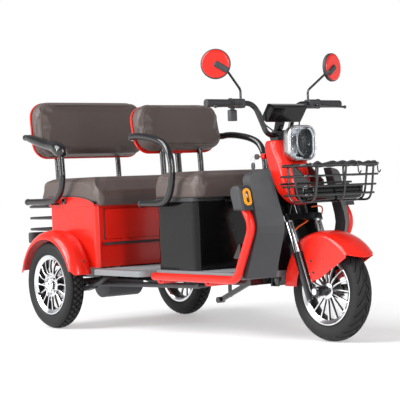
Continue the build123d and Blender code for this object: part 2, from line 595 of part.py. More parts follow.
door = door - block(BODY_FRONT + DOOR_PROUD - 4, BODY_FRONT + DOOR_PROUD + 1, 16 - door_y, door_y - 16,
                    DOOR_BOTTOM + 16, DOOR_TOP - 16)
for y in DOOR_HINGES:
    leaf = block(DOOR_AXIS[0] - 4, BODY_FRONT + DOOR_PROUD, y - 10, y + 10, DOOR_AXIS[1],
                 DOOR_BOTTOM + DOOR_GAP + 4)
    leaf = leaf + across(DOOR_AXIS[0], DOOR_AXIS[1], y - 10, y + 10, KNUCKLE_R)
    door = door + (leaf - across(DOOR_AXIS[0], DOOR_AXIS[1], y - 11, y + 11, 3 + RUNNING_GAP))
pieces["rear_door"] = door

# Rear fenders beside the body: a flat lip, a round shoulder and a top that falls towards the body
FENDER_R = TYRE_R + FENDER_GAP
FENDER_Y = TRACK / 2 + TYRE_W / 2 + 12
LIP_R = FENDER_R - 40
fender_in = BODY_Y + SEAT_GAP
fender_outline = [
    Line((LIP_R, -fender_in), (LIP_R, -FENDER_Y)),
    Line((LIP_R, -FENDER_Y), (LIP_R + 8, -FENDER_Y)),
    ThreePointArc((LIP_R + 8, -FENDER_Y), (FENDER_R - 10, -FENDER_Y + 16), (FENDER_R, -FENDER_Y + 56)),
    ThreePointArc((FENDER_R, -FENDER_Y + 56), (FENDER_R - 3, -FENDER_Y + 90), (FENDER_R - 12, -fender_in)),
    Line((FENDER_R - 12, -fender_in), (LIP_R, -fender_in)),
]
fender_face = make_face(fender_outline)
fender = arch(fender_face - Pos(-FENDER_T, FENDER_T, 0) * fender_face, 12, 166)
pieces["rear_fenders"] = pair(fender)

# Rear seat: its cushion ends in a nose that hangs over the front wall of the body
PLATE_BACK = -282
PLATE_FRONT = BODY_FRONT + 16
NOSE_LOW = BODY_TOP - 9
REAR_SEAT_TOP = BODY_TOP + 115
plate = block(PLATE_BACK, PLATE_FRONT, 4 - BODY_Y, BODY_Y - 4, PLATE_Z, PLATE_Z + PLATE_T)
for x in (PLATE_BACK + 42, PLATE_BACK + 222):
    ear = block(x - 14, x + 14, BODY_Y - 6, HOOPS["rear"]["y"], PLATE_Z, PLATE_Z + PLATE_T)
    plate = plate + ear + flip(ear)
for sign in (-1, 1):
    y = sign * HOOPS["rear"]["y"]
    plate = plate - straight((PLATE_BACK - 20, y, REAR_LEG_Z), (-20, y, REAR_LEG_Z), ARM_R + SEAT_GAP)
pieces["rear_seat_plate"] = plate
bench_low = PLATE_Z + PLATE_T + SEAT_GAP
bench_line = [
    (-236, bench_low), (PLATE_FRONT + SEAT_GAP, bench_low), (PLATE_FRONT + SEAT_GAP, NOSE_LOW),
    (PLATE_FRONT + 22, NOSE_LOW), (PLATE_FRONT + 22, NOSE_LOW + 70), (PLATE_FRONT - 44, REAR_SEAT_TOP),
    (-236, REAR_SEAT_TOP),
]
bench = side_prism(bench_line, -BODY_Y - 1, BODY_Y + 1)
bench = fillet(bench.edges().filter_by(Axis.Z).group_by(Axis.X)[0], 50)
bench = fillet(bench.edges().filter_by(Axis.Z).group_by(Axis.X)[-1], 30)
pieces["rear_cushion"] = fillet(bench.edges().group_by(Axis.Z)[-1], 26)

# Rear rack
rack = []
for z in (BODY_TOP - 9, BODY_TOP - 65, BODY_TOP - 120):
    rack.append(rod([(BODY_BACK - SEAT_GAP, -RACK_Y, z), (RACK_BACK, -RACK_Y, z), (RACK_BACK, RACK_Y, z),
                     (BODY_BACK - SEAT_GAP, RACK_Y, z)], 40, RACK_R))
pieces["rear_rack"] = Compound(rack)

# Tail unit with two lamps; its back face has the number plate's two bolt holes
TAIL_BACK = -372
TAIL_LOW = 185
TAIL_HIGH = 237
PLATE_HOLES = 145
tail_z = (TAIL_LOW + TAIL_HIGH) / 2
tail = block(TAIL_BACK, TAIL_BACK + 44, -300, 300, TAIL_LOW, TAIL_HIGH)
tail = fillet(tail.edges().filter_by(Axis.Z), 20)
tail = fillet(tail.edges().group_by(Axis.Z)[-1] + tail.edges().group_by(Axis.Z)[0], 6)
for sign in (-1, 1):
    arm = block(TAIL_BACK + 40, BODY_BACK - SEAT_GAP, 225, 265, TAIL_LOW + 8, TAIL_HIGH - 8)
    tail = tail + (arm if sign > 0 else flip(arm))
    tail = tail - Pos(TAIL_BACK + 20, sign * PLATE_HOLES / 2, tail_z) * Rot(0, 90, 0) * Cylinder(3.25, 100)
pieces["tail_unit"] = tail
lamp = Pos(TAIL_BACK - 6 - SEAT_GAP, 200, tail_z) * Box(12, 110, 36)
lamp = fillet(lamp.edges().filter_by(Axis.X), 10)
pieces["tail_lamps"] = pair(fillet(lamp.faces().sort_by(Axis.X)[0].edges(), 4))

# Rear axle tube with its two arms, the motor round it and the leaf springs under it
TUBE_END = TRACK / 2 - 62
ARM_PIVOT_X = BODY_FRONT + 610
PIVOT_Z = (FLOOR_UNDER - RAIL_H + FLOOR_UNDER) / 2 - 25
axle_tube = across(0, 0, -TUBE_END, TUBE_END, TUBE_R)
arm_y = rail_out + 18
arm = straight((0, arm_y, -8), (ARM_PIVOT_X, arm_y, PIVOT_Z), 12)
arm = arm + across(ARM_PIVOT_X, PIVOT_Z, rail_out - 20, arm_y + 16, 9)
arm = arm + block(ARM_PIVOT_X - 10, ARM_PIVOT_X + 10, rail_out - 20, rail_out - 8, PIVOT_Z,
                  FLOOR_UNDER - RAIL_H - SEAT_GAP)
axle_tube = axle_tube + arm + flip(arm)
for sign in (-1, 1):
    bore = across(0, 0, sign * (TRACK / 2 - SHAFT_IN - 2), sign * (TUBE_END + 5), SHAFT_R + RUNNING_GAP)
    axle_tube = axle_tube - bore
pieces["rear_axle"] = axle_tube
pieces["drive_motor"] = across(0, -12, -115, 80, MOTOR_R) - across(0, 0, -200, 200, TUBE_R + SEAT_GAP)
LEAF_Y = rail_out + 56
EYE_X = 222
EYE_Z = TUBE_R + 16
seat_z = -TUBE_R - SEAT_GAP
leaf_line = [(-EYE_X - 4, EYE_Z + 5), (-110, seat_z + 12), (-40, seat_z), (40, seat_z), (110, seat_z + 12),
             (EYE_X + 4, EYE_Z + 5), (EYE_X + 4, EYE_Z - 5), (110, seat_z + 2), (100, seat_z - 8), (40, seat_z - 22),
             (-40, seat_z - 22), (-100, seat_z - 8), (-110, seat_z + 2), (-EYE_X - 4, EYE_Z - 5)]
leaf = side_prism(leaf_line, LEAF_Y - 20, LEAF_Y + 20)
for x in (-EYE_X + 34, EYE_X):
    leaf = leaf + across(x, EYE_Z if x > 0 else EYE_Z - 10, rail_out + SEAT_GAP, LEAF_Y + 22, 8)
pieces["rear_springs"] = pair(leaf)

# Brake pedal on the floor and its lever under the rail
pedal_x = FLOOR_FRONT - 110
pedal_low = FLOOR_TOP + SEAT_GAP
pedal = side_prism(beyond(pedal_x, [(0, pedal_low), (32, pedal_low), (44, pedal_low + 59), (24, pedal_low + 63)]),
                   -198, -182)
pedal = pedal + side_prism(beyond(pedal_x, [(18, pedal_low + 59), (58, pedal_low + 55), (66, pedal_low + 115),
                                            (56, pedal_low + 117)]), -220, -160)
lever_top = FLOOR_UNDER - RAIL_H - SEAT_GAP
lever_line = [(30, lever_top), (-20, lever_top), (-172, lever_top - 62), (-166, lever_top - 80)]
lever = side_prism(beyond(pedal_x, lever_line), -RAIL_Y - 7, -RAIL_Y + 7)
lever = lever + across(pedal_x - 166, lever_top - 68, -RAIL_Y - 16, -RAIL_Y + 16, 13)
pieces["brake_pedal"] = Compound([pedal, lever])

# Handlebar, clamped on the stem, with its grips, switch pods and levers
bar_low = steered(0, 0, STEM_TOP + BAR_R + SEAT_GAP)
bar_half = [(BAR_X, BAR_Y - 3, BAR_Z), (BAR_X, 115, BAR_Z), (bar_low[0], 58, bar_low[2])]
bar_right = [(x, -y, z) for x, y, z in bar_half]
pieces["handlebar"] = rod(bar_right + bar_half[::-1], (60, 42, 42, 60), BAR_R)
CLAMP_TOP = STEM_TOP + 28
clamp = Pos(0, 0, STEM_TOP + 2) * Box(46, 56, 2 * (CLAMP_TOP - STEM_TOP - 2))
clamp = fillet(clamp.edges().filter_by(Axis.Y), 10)
clamp = clamp - Pos(0, 0, STEM_TOP - 40) * Cylinder(STEM_R + SEAT_GAP, 80 + 2 * SEAT_GAP)
clamp = clamp - across(0, STEM_TOP + BAR_R + SEAT_GAP, -50, 50, BAR_R + SEAT_GAP)
pieces["bar_clamp"] = STEER * clamp
bore = across(BAR_X, BAR_Z, 0, BAR_Y - 3 + SEAT_GAP, BAR_R + SEAT_GAP)
grip = across(BAR_X, BAR_Z, BAR_Y - GRIP_L, BAR_Y, GRIP_R)
grip = grip + across(BAR_X, BAR_Z, BAR_Y - GRIP_L, BAR_Y - GRIP_L + 6, GRIP_R + 5)
pieces["grips"] = pair(grip - bore)
switch = block(BAR_X - 20, BAR_X + 22, POD_Y, BAR_Y - GRIP_L - 2, BAR_Z - 20, BAR_Z + 18)
pieces["switch_pods"] = pair(fillet(switch.edges().filter_by(Axis.Y), 10) - bore)
lever = rod([(BAR_X + 22 + SEAT_GAP, POD_Y + 28, BAR_Z - 8), (BAR_X + 40, POD_Y + 28, BAR_Z - 8),
             (BAR_X + 48, POD_Y + 84, BAR_Z - 12), (BAR_X + 46, BAR_Y - 12, BAR_Z - 16)], 12, 5)
lever = lever + Pos(BAR_X + 46, BAR_Y - 12, BAR_Z - 16) * Sphere(7.5)
pieces["brake_levers"] = pair(lever)

# Instrument housing on the bar clamp
DASH_Y = 90
dash_line = beyond(WHEELBASE, [(-200, 749), (-252, 683), (-290, 701), (-244, 761)])
dash = side_prism(dash_line, -DASH_Y, DASH_Y)
dash = fillet(dash.edges().filter_by(Axis.Y), 8)
heel = steered(-5, 0, CLAMP_TOP + SEAT_GAP)
toe = steered(23, 0, CLAMP_TOP + SEAT_GAP)
neck = [(heel[0], heel[2]), (toe[0], toe[2])] + beyond(WHEELBASE, [(-258, 693), (-284, 705)])
pieces["dashboard"] = dash + side_prism(neck, -15, 15)

# Brake and switch cables from the pods to the clamp, along hand-chosen points
cable_end = steered(23 + SEAT_GAP, 20, STEM_TOP + 2)
cable_points = [
    (BAR_X + 16, POD_Y - SEAT_GAP, BAR_Z - 8), (BAR_X + 16, POD_Y - 36, BAR_Z - 8),
    (BAR_X + 26, DASH_Y + 13, BAR_Z - 34), (BAR_X + 38, DASH_Y + 8, BAR_Z - 86),
    (BAR_X + 56, DASH_Y - 28, BAR_Z - 118), steered(47, 20, STEM_TOP + 2), cable_end,
]
pieces["control_cables"] = pair(rod(cable_points, (50, 40, 45, 40, 12), CABLE_R))

# Mirrors on bent stems; each head has its own turn about the upright
MIRROR_Y = 318
MIRROR_Z = BAR_Z + 156
MIRROR_T = 20
STEM_Y = POD_Y + 6
mirror_heads = []
mirror_stems = []
for sign, turn in ((-1, -37), (1, 14)):
    facing = Vector(math.cos(math.radians(turn)), math.sin(math.radians(turn)), 0)
    inward = Vector(-facing.Y, facing.X, 0) * -sign
    seat = Plane(origin=(BAR_X + 14, sign * MIRROR_Y, MIRROR_Z), x_dir=(0, 0, 1), z_dir=facing)
    head = Cylinder(MIRROR_R, MIRROR_T)
    mirror_heads.append(seat * fillet(head.edges().group_by(Axis.Z)[-1], 12))
    rim = Vector(*seat.origin) + (inward * 0.85 + Vector(0, 0, -0.527)) * (MIRROR_R - 6) - facing * (MIRROR_T / 2 - 4)
    arm = rod([(BAR_X, sign * STEM_Y, BAR_Z + 18 + SEAT_GAP), (BAR_X, sign * STEM_Y, BAR_Z + 56), tuple(rim)], 22, 5)
    mirror_stems.append(arm - seat * Cylinder(MIRROR_R + SEAT_GAP, MIRROR_T + 1))
pieces["mirrors"] = Compound(mirror_heads)
pieces["mirror_stems"] = Compound(mirror_stems)

os.makedirs("parts", exist_ok=True)
for name, shape in pieces.items():
    export_step(Pos(-MID_X, 0, TYRE_R) * shape, f"parts/{name}.step")
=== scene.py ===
from math import asin, cos, degrees, pi, radians, sin

import bmesh
import bpy
from mathutils import Matrix, Vector
from mathutils.bvhtree import BVHTree
from mathutils.kdtree import KDTree


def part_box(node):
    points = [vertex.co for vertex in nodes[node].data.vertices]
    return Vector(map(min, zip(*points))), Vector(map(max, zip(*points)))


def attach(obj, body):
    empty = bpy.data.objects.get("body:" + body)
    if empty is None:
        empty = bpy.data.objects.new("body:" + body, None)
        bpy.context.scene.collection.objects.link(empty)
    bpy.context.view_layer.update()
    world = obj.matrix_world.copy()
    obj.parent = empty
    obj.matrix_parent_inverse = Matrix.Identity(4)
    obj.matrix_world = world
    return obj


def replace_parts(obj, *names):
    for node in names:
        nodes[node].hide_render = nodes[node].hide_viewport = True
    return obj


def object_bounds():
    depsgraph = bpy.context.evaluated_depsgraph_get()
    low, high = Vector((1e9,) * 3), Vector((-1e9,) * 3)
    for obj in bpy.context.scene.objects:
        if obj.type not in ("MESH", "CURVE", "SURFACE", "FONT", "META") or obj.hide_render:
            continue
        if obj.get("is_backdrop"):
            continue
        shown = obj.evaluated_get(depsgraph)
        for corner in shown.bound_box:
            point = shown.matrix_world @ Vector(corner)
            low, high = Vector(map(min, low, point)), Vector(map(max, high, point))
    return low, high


# Looks of the electric tricycle, in metres: x forward, y left, z up from the ground.
# Places given through at(), and the lines of turned and moulded pieces, are in millimetres.
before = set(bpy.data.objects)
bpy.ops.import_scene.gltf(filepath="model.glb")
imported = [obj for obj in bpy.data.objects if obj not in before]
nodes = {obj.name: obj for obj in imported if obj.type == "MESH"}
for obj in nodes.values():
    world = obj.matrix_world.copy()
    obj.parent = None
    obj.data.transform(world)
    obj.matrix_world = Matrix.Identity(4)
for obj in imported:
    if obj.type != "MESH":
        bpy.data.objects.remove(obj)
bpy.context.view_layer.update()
X, Y, Z = Vector((1, 0, 0)), Vector((0, 1, 0)), Vector((0, 0, 1))
SIDES = (("right", -1), ("left", 1))


def middle(node):
    low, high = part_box(node)
    return (low + high) / 2


FRONT_AXLE = middle("front_tyre")
REAR_AXLE = {side: middle("rear_tyre_" + side) for side, _ in SIDES}
TYRE_R = (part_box("front_tyre")[1].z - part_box("front_tyre")[0].z) / 2
TYRE_HALF = (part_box("rear_tyre_left")[1].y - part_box("rear_tyre_left")[0].y) / 2
RIM_R = (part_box("front_rim")[1].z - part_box("front_rim")[0].z) / 2
WHEELBASE, AXLE_Z = 1490, 205


# Materials. Every one takes its colour drift, roughness and bump from noise in the piece's own coordinates.
def preset(node, values):
    """Sets a node's inputs by name."""
    for name, value in values.items():
        node.inputs[name].default_value = value


def noise(tree, place, scale, detail=3.0, stretch=None):
    if stretch:
        mapping = tree.nodes.new("ShaderNodeMapping")
        mapping.inputs["Scale"].default_value = stretch
        tree.links.new(place, mapping.inputs["Vector"])
        place = mapping.outputs["Vector"]
    node = tree.nodes.new("ShaderNodeTexNoise")
    preset(node, {"Scale": scale, "Detail": detail})
    tree.links.new(place, node.inputs["Vector"])
    return node.outputs["Fac"]


def ranged(tree, value, low, high, from_low=0.3, from_high=0.7):
    node = tree.nodes.new("ShaderNodeMapRange")
    preset(node, {"From Min": from_low, "From Max": from_high, "To Min": low, "To Max": high})
    tree.links.new(value, node.inputs["Value"])
    return node.outputs["Result"]


def mixed(tree, factor, first, second):
    """A blend of two colours, each given as numbers or as another node's output."""
    node = tree.nodes.new("ShaderNodeMix")
    node.data_type = "RGBA"
    node.inputs["A"].default_value = (*first, 1) if not hasattr(first, "node") else (0, 0, 0, 1)
    node.inputs["B"].default_value = (*second, 1) if not hasattr(second, "node") else (0, 0, 0, 1)
    if hasattr(first, "node"):
        tree.links.new(first, node.inputs[6])
    if hasattr(second, "node"):
        tree.links.new(second, node.inputs[7])
    tree.links.new(factor, node.inputs["Factor"])
    return node.outputs[2]


def bumped(tree, shader, heights):
    """Stacks bumps, each a height with its strength and depth, under the shader's normal."""
    normal = None
    for height, strength, depth in heights:
        node = tree.nodes.new("ShaderNodeBump")
        preset(node, {"Strength": strength, "Distance": depth})
        tree.links.new(height, node.inputs["Height"])
        if normal:
            tree.links.new(normal, node.inputs["Normal"])
        normal = node.outputs["Normal"]
    tree.links.new(normal, shader.inputs["Normal"])


def start(name):
    mat = bpy.data.materials.new(name)
    mat.use_nodes = True
    tree = mat.node_tree
    coords = tree.nodes.new("ShaderNodeTexCoord")
    return mat, tree, tree.nodes["Principled BSDF"], coords


def surface(name, colour, rough, metal=0.0, coat=0.0, tone=0.10, spread=0.05, patch=7.0, grain=900.0, bump=0.1,
            depth=0.0004, specular=0.5):
    """A painted, moulded or metal finish: tone and spread drift in patches, and grain sets the bump's scale."""
    mat, tree, shader, coords = start(name)
    place = coords.outputs["Object"]
    cloud = noise(tree, place, patch, 4.0)
    dark = [c * (1 - tone) for c in colour]
    light = [min(1.0, c * (1 + tone)) for c in colour]
    tree.links.new(mixed(tree, cloud, dark, light), shader.inputs["Base Color"])
    smear = noise(tree, place, patch * 6, 5.0)
    tree.links.new(ranged(tree, smear, rough - spread, rough + spread), shader.inputs["Roughness"])
    bumped(tree, shader, [(noise(tree, place, grain), bump, depth)])
    preset(shader, {"Metallic": metal, "Coat Weight": coat, "Coat Roughness": 0.06, "Specular IOR Level": specular})
    return mat


def glow(mat, strength):
    """The same material, giving off white light by itself."""
    white = (1.0, 1.0, 1.0, 1.0)
    preset(mat.node_tree.nodes["Principled BSDF"], {"Emission Color": white, "Emission Strength": strength})
    return mat


def leather(name, colour):
    """Pebbled grain from cells, with darker creases between them."""
    mat, tree, shader, coords = start(name)
    place = coords.outputs["Object"]
    cell = tree.nodes.new("ShaderNodeTexVoronoi")
    cell.feature = "DISTANCE_TO_EDGE"
    cell.inputs["Scale"].default_value = 420.0
    warp = noise(tree, place, 130.0, 2.0)
    tree.links.new(place, cell.inputs["Vector"])
    cloud = noise(tree, place, 5.0, 5.0)
    base = mixed(tree, cloud, [c * 0.86 for c in colour], [min(1, c * 1.12) for c in colour])
    fold = ranged(tree, cell.outputs["Distance"], 0.0, 1.0, 0.0, 0.12)
    tree.links.new(mixed(tree, fold, [c * 0.8 for c in colour], base), shader.inputs["Base Color"])
    tree.links.new(ranged(tree, warp, 0.38, 0.5), shader.inputs["Roughness"])
    bumped(tree, shader, [(fold, 0.22, 0.0004), (noise(tree, place, 60.0, 4.0), 0.12, 0.002)])
    shader.inputs["Sheen Weight"].default_value = 0.08
    return mat


def machined(name, bright, dark, centre):
    """Bright turned faces where the metal faces sideways, dark paint in the pockets between."""
    mat, tree, shader, coords = start(name)
    place = tree.nodes.new("ShaderNodeMapping")
    place.inputs["Location"].default_value = -centre
    tree.links.new(coords.outputs["Object"], place.inputs["Vector"])
    parts = tree.nodes.new("ShaderNodeSeparateXYZ")
    tree.links.new(coords.outputs["Normal"], parts.inputs["Vector"])
    side = tree.nodes.new("ShaderNodeMath")
    side.operation = "ABSOLUTE"
    tree.links.new(parts.outputs["Y"], side.inputs[0])
    facing = ranged(tree, side.outputs[0], 0.0, 1.0, 0.45, 0.6)
    rings = tree.nodes.new("ShaderNodeTexWave")
    rings.wave_type = "RINGS"
    rings.rings_direction = "Y"
    preset(rings, {"Scale": 260.0, "Distortion": 0.4})
    tree.links.new(place.outputs["Vector"], rings.inputs["Vector"])
    cloud = noise(tree, coords.outputs["Object"], 30.0, 4.0)
    shine = mixed(tree, cloud, [c * 0.9 for c in bright], bright)
    tree.links.new(mixed(tree, facing, dark, shine), shader.inputs["Base Color"])
    tree.links.new(ranged(tree, facing, 0.42, 0.2, 0.0, 1.0), shader.inputs["Roughness"])
    tree.links.new(facing, shader.inputs["Metallic"])
    grain = noise(tree, coords.outputs["Object"], 700.0)
    bumped(tree, shader, [(rings.outputs["Fac"], 0.08, 0.0002), (grain, 0.1, 0.0002)])
    return mat


def glass(name, colour, rough=0.05):
    """Tinted lens plastic with fine moulded streaks."""
    mat, tree, shader, coords = start(name)
    place = coords.outputs["Object"]
    streak = noise(tree, place, 260.0, 2.0, (1.0, 0.15, 1.0))
    tree.links.new(ranged(tree, noise(tree, place, 40.0, 4.0), rough, rough + 0.06), shader.inputs["Roughness"])
    tree.links.new(mixed(tree, streak, [c * 0.85 for c in colour], colour), shader.inputs["Base Color"])
    bumped(tree, shader, [(streak, 0.15, 0.0008)])
    preset(shader, {"Coat Weight": 1.0, "Coat Roughness": 0.03})
    return mat


def clear_glass(name):
    mat, tree, shader, coords = start(name)
    place = coords.outputs["Object"]
    tree.links.new(ranged(tree, noise(tree, place, 30.0, 4.0), 0.0, 0.04), shader.inputs["Roughness"])
    bumped(tree, shader, [(noise(tree, place, 20.0), 0.02, 0.001)])
    preset(shader, {"Base Color": (0.93, 0.96, 1.0, 1.0), "Transmission Weight": 1.0, "IOR": 1.3})
    return mat


RED = (0.71, 0.016, 0.008)
TAUPE = (0.082, 0.058, 0.051)
mats = {
    "red_paint": surface("red_paint", RED, 0.24, coat=0.15, tone=0.04, patch=3.0, grain=340.0, bump=0.03,
                         specular=0.35),
    "red_metal": surface("red_metal", RED, 0.22, coat=0.15, tone=0.05, grain=420.0, bump=0.03, specular=0.35),
    "black_metal": surface("black_metal", (0.007, 0.007, 0.008), 0.11, tone=0.2, grain=500.0, bump=0.03,
                           specular=0.75),
    "black_plastic": surface("black_plastic", (0.036, 0.037, 0.040), 0.5, tone=0.12, grain=1500.0, bump=0.35,
                             depth=0.0003, specular=0.4),
    "black_gloss": surface("black_gloss", (0.006, 0.006, 0.0065), 0.10, tone=0.15, grain=260.0, bump=0.03,
                           specular=0.3),
    "floor_grey": surface("floor_grey", (0.20, 0.205, 0.215), 0.5, tone=0.1, patch=11.0, grain=1100.0, bump=0.3),
    "leather": leather("leather", TAUPE),
    "piping": leather("piping", (0.15, 0.112, 0.095)),
    "tyre": surface("tyre", (0.012, 0.012, 0.0125), 0.55, tone=0.25, patch=18.0, grain=800.0, bump=0.25,
                    specular=0.25),
    # Same rubber as the tyre, only darker and duller: painted shade for the faces deep in the tread's grooves
    "groove": surface("groove", (0.003, 0.003, 0.003), 0.8, tone=0.3, grain=800.0, bump=0.2, specular=0.1),
    "chrome": surface("chrome", (0.86, 0.87, 0.89), 0.1, metal=1.0, tone=0.05, spread=0.04, grain=600.0, bump=0.02),
    "silver": surface("silver", (0.52, 0.515, 0.515), 0.26, metal=1.0, tone=0.06, grain=600.0, bump=0.03),
    "silvered": surface("silvered", (0.9, 0.91, 0.92), 0.04, metal=1.0, tone=0.02, spread=0.02, grain=40.0, bump=0.01),
    "alloy": surface("alloy", (0.78, 0.79, 0.81), 0.24, metal=1.0, tone=0.06, grain=700.0, bump=0.05),
    "grip": surface("grip", (0.028, 0.028, 0.030), 0.6, tone=0.2, grain=900.0, bump=0.4, depth=0.0006),
    "amber": glass("amber", (0.95, 0.36, 0.01), 0.12),
    "red_lens": glass("red_lens", (0.55, 0.006, 0.008), 0.08),
    "lens": glass("lens", (0.02, 0.03, 0.045), 0.03),
    "bowl": surface("bowl", (0.09, 0.115, 0.13), 0.16, metal=1.0, grain=500.0),
    "lamp_dark": surface("lamp_dark", (0.008, 0.009, 0.011), 0.3, grain=500.0),
    "light_guide": glow(surface("light_guide", (0.80, 0.85, 0.90), 0.3, grain=300.0, coat=0.4), 0.35),
    "clear_glass": clear_glass("clear_glass"),
    "cast": surface("cast", (0.075, 0.077, 0.082), 0.42, metal=0.6, tone=0.2, grain=500.0, bump=0.4, depth=0.0006),
    "battery_case": surface("battery_case", (0.11, 0.115, 0.12), 0.5, grain=900.0, bump=0.3),
    "spring_steel": surface("spring_steel", (0.035, 0.035, 0.038), 0.4, metal=0.5, tone=0.25, grain=400.0, bump=0.3),
    "orange_wire": surface("orange_wire", (0.80, 0.10, 0.01), 0.35, grain=500.0),
}
# The CAD parts that show as they are; a mesh below stands in for each of the others
NODE_FINISH = {
    "red_paint": ["rear_body", "rear_door", "front_back_shell", "rear_back_shell", "mirrors"],
    "red_metal": ["step_bars"],
    "black_metal": ["fork_sliders", "fork_crown", "head_tube", "frame", "rear_rack", "handlebar", "bar_clamp",
                    "mirror_stems", "basket_stays", "rear_seat_plate", "brake_levers", "brake_pedal"],
    "black_plastic": ["leg_shields", "lamp_pods", "front_seat_base", "tail_unit", "switch_pods"],
    "black_gloss": ["front_box", "inner_panel", "dashboard"],
    "floor_grey": ["front_floor", "rear_floor"],
    "chrome": ["fork_stanchions", "front_axle"],
    "grip": ["grips", "control_cables"],
    "amber": ["corner_lamps"],
    "red_lens": ["tail_lamps"],
    "cast": ["drive_motor", "rear_axle"],
    "battery_case": ["battery"],
    "spring_steel": ["rear_springs"],
}
for finish, names in NODE_FINISH.items():
    for name in names:
        nodes[name].data.materials.clear()
        nodes[name].data.materials.append(mats[finish])


# Mesh helpers
def piece(name, mesh, body, slot, mat=None, smooth=True):
    """A visible piece that rides on body; its material is its slot's own unless another is given."""
    obj = bpy.data.objects.new(name, mesh)
    bpy.context.scene.collection.objects.link(obj)
    if not mesh.materials:
        mesh.materials.append(mat or mats[slot])
    if smooth:
        mesh.polygons.foreach_set("use_smooth", [True] * len(mesh.polygons))
    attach(obj, body)
    return obj


def grid_mesh(name, rows, closed_rows=False, closed_cols=False):
    """A mesh over rows of points, each row as long as the next."""
    bm = bmesh.new()
    verts = [[bm.verts.new(p) for p in row] for row in rows]
    count = len(rows)
    width = len(rows[0])
    for i in range(count if closed_rows else count - 1):
        for j in range(width if closed_cols else width - 1):
            a = verts[i][j]
            b = verts[i][(j + 1) % width]
            c = verts[(i + 1) % count][(j + 1) % width]
            d = verts[(i + 1) % count][j]
            bm.faces.new((a, b, c, d))
    bmesh.ops.recalc_face_normals(bm, faces=bm.faces)
    mesh = bpy.data.meshes.new(name)
    bm.to_mesh(mesh)
    bm.free()
    return mesh


def smoothstep(low, high, value):
    t = min(1.0, max(0.0, (value - low) / (high - low)))
    return t * t * (3 - 2 * t)


def at(x, y, z):
    """A place in millimetres from the rear axle, the middle and the ground."""
    return Vector((REAR_AXLE["right"].x + x / 1000, y / 1000, z / 1000))


def mirrored(points):
    """The same run on the other side, followed backwards."""
    return [Vector((p.x, -p.y, p.z)) for p in reversed(points)]


def eased(obj, width, segments, angle, name="edges"):
    """Rounds the edges that are sharper than an angle in degrees."""
    soft = obj.modifiers.new(name, "BEVEL")
    soft.width = width
    soft.segments = segments
    soft.limit_method = "ANGLE"
    soft.angle_limit = radians(angle)


def turn(bm, profile, origin, axis, steps=32):
    """Adds a turned form to bm: a line of radius and height along axis, in millimetres."""
    axis = Vector(axis).normalized()
    side = axis.orthogonal().normalized()
    other = axis.cross(side)
    rows = []
    for k in range(steps):
        angle = 2 * pi * k / steps
        out = side * cos(angle) + other * sin(angle)
        rows.append([bm.verts.new(origin + out * (r / 1000) + axis * (h / 1000)) for r, h in profile])
    for k in range(steps):
        for j in range(len(profile) - 1):
            bm.faces.new((rows[k][j], rows[k][j + 1], rows[(k + 1) % steps][j + 1], rows[(k + 1) % steps][j]))


def skinned(bm, rows, caps=(True, True)):
    """Faces between closed rows of vertices, and over the ends that are capped."""
    count = len(rows[0])
    for a, b in zip(rows, rows[1:]):
        for j in range(count):
            k = (j + 1) % count
            bm.faces.new((a[j], a[k], b[k], b[j]))
    if caps[0]:
        bm.faces.new(rows[0])
    if caps[1]:
        bm.faces.new(list(reversed(rows[-1])))


def oblong(half_w, half_h, corner, steps=8):
    """A rounded rectangle about the origin, as points in two coordinates."""
    points = []
    for cx, cy, first in ((1, 1, 0), (-1, 1, 90), (-1, -1, 180), (1, -1, 270)):
        for k in range(steps + 1):
            angle = radians(first + 90 * k / steps)
            points.append((cx * (half_w - corner) + corner * cos(angle), cy * (half_h - corner) + corner * sin(angle)))
    return points


def stacked(bm, levels, place, axes, caps=(True, True)):
    """Rounded rectangles of half width, half height, corner and depth in millimetres, joined along the last axis."""
    wide, tall, deep = (axis / 1000 for axis in axes)
    skinned(bm, [[bm.verts.new(place + wide * u + tall * v + deep * depth) for u, v in oblong(half_w, half_h, corner)]
                 for half_w, half_h, corner, depth in levels], caps)


def slab(bm, low, high):
    """A plain block between two places in millimetres."""
    low, high = at(*low), at(*high)
    corners = [bm.verts.new((x, y, z)) for x in (low.x, high.x) for y in (low.y, high.y) for z in (low.z, high.z)]
    for face in ((0, 1, 3, 2), (4, 6, 7, 5), (0, 4, 5, 1), (2, 3, 7, 6), (0, 2, 6, 4), (1, 5, 7, 3)):
        bm.faces.new([corners[i] for i in face])


def from_bm(name, bm, body, slot, mat=None, smooth=True, edges=None):
    bmesh.ops.remove_doubles(bm, verts=bm.verts, dist=1e-6)
    bmesh.ops.dissolve_degenerate(bm, edges=bm.edges, dist=1e-7)
    bmesh.ops.recalc_face_normals(bm, faces=bm.faces)
    mesh = bpy.data.meshes.new(name)
    bm.to_mesh(mesh)
    bm.free()
    obj = piece(name, mesh, body, slot, mat, smooth)
    if edges:
        eased(obj, edges, 3, 35)
    return obj


def turned(name, profile, place, axis, steps, body, slot, mat=None):
    """A piece of one turned form."""
    bm = bmesh.new()
    turn(bm, profile, place, axis, steps)
    return from_bm(name, bm, body, slot, mat)


def moulded(name, levels, place, axes, body, slot, mat=None, caps=(True, True), edges=None):
    """A piece of one stack."""
    bm = bmesh.new()
    stacked(bm, levels, place, axes, caps)
    return from_bm(name, bm, body, slot, mat, edges=edges)


def sheet_metal(name, rows, body, thickness, offset, edge):
    """A painted sheet over rows of points, with eased edges."""
    sheet = piece(name, grid_mesh(name, rows), body, "red_paint")
    thick = sheet.modifiers.new("sheet", "SOLIDIFY")
    thick.thickness = thickness
    thick.offset = offset
    eased(sheet, edge, 2, 50)
    return sheet


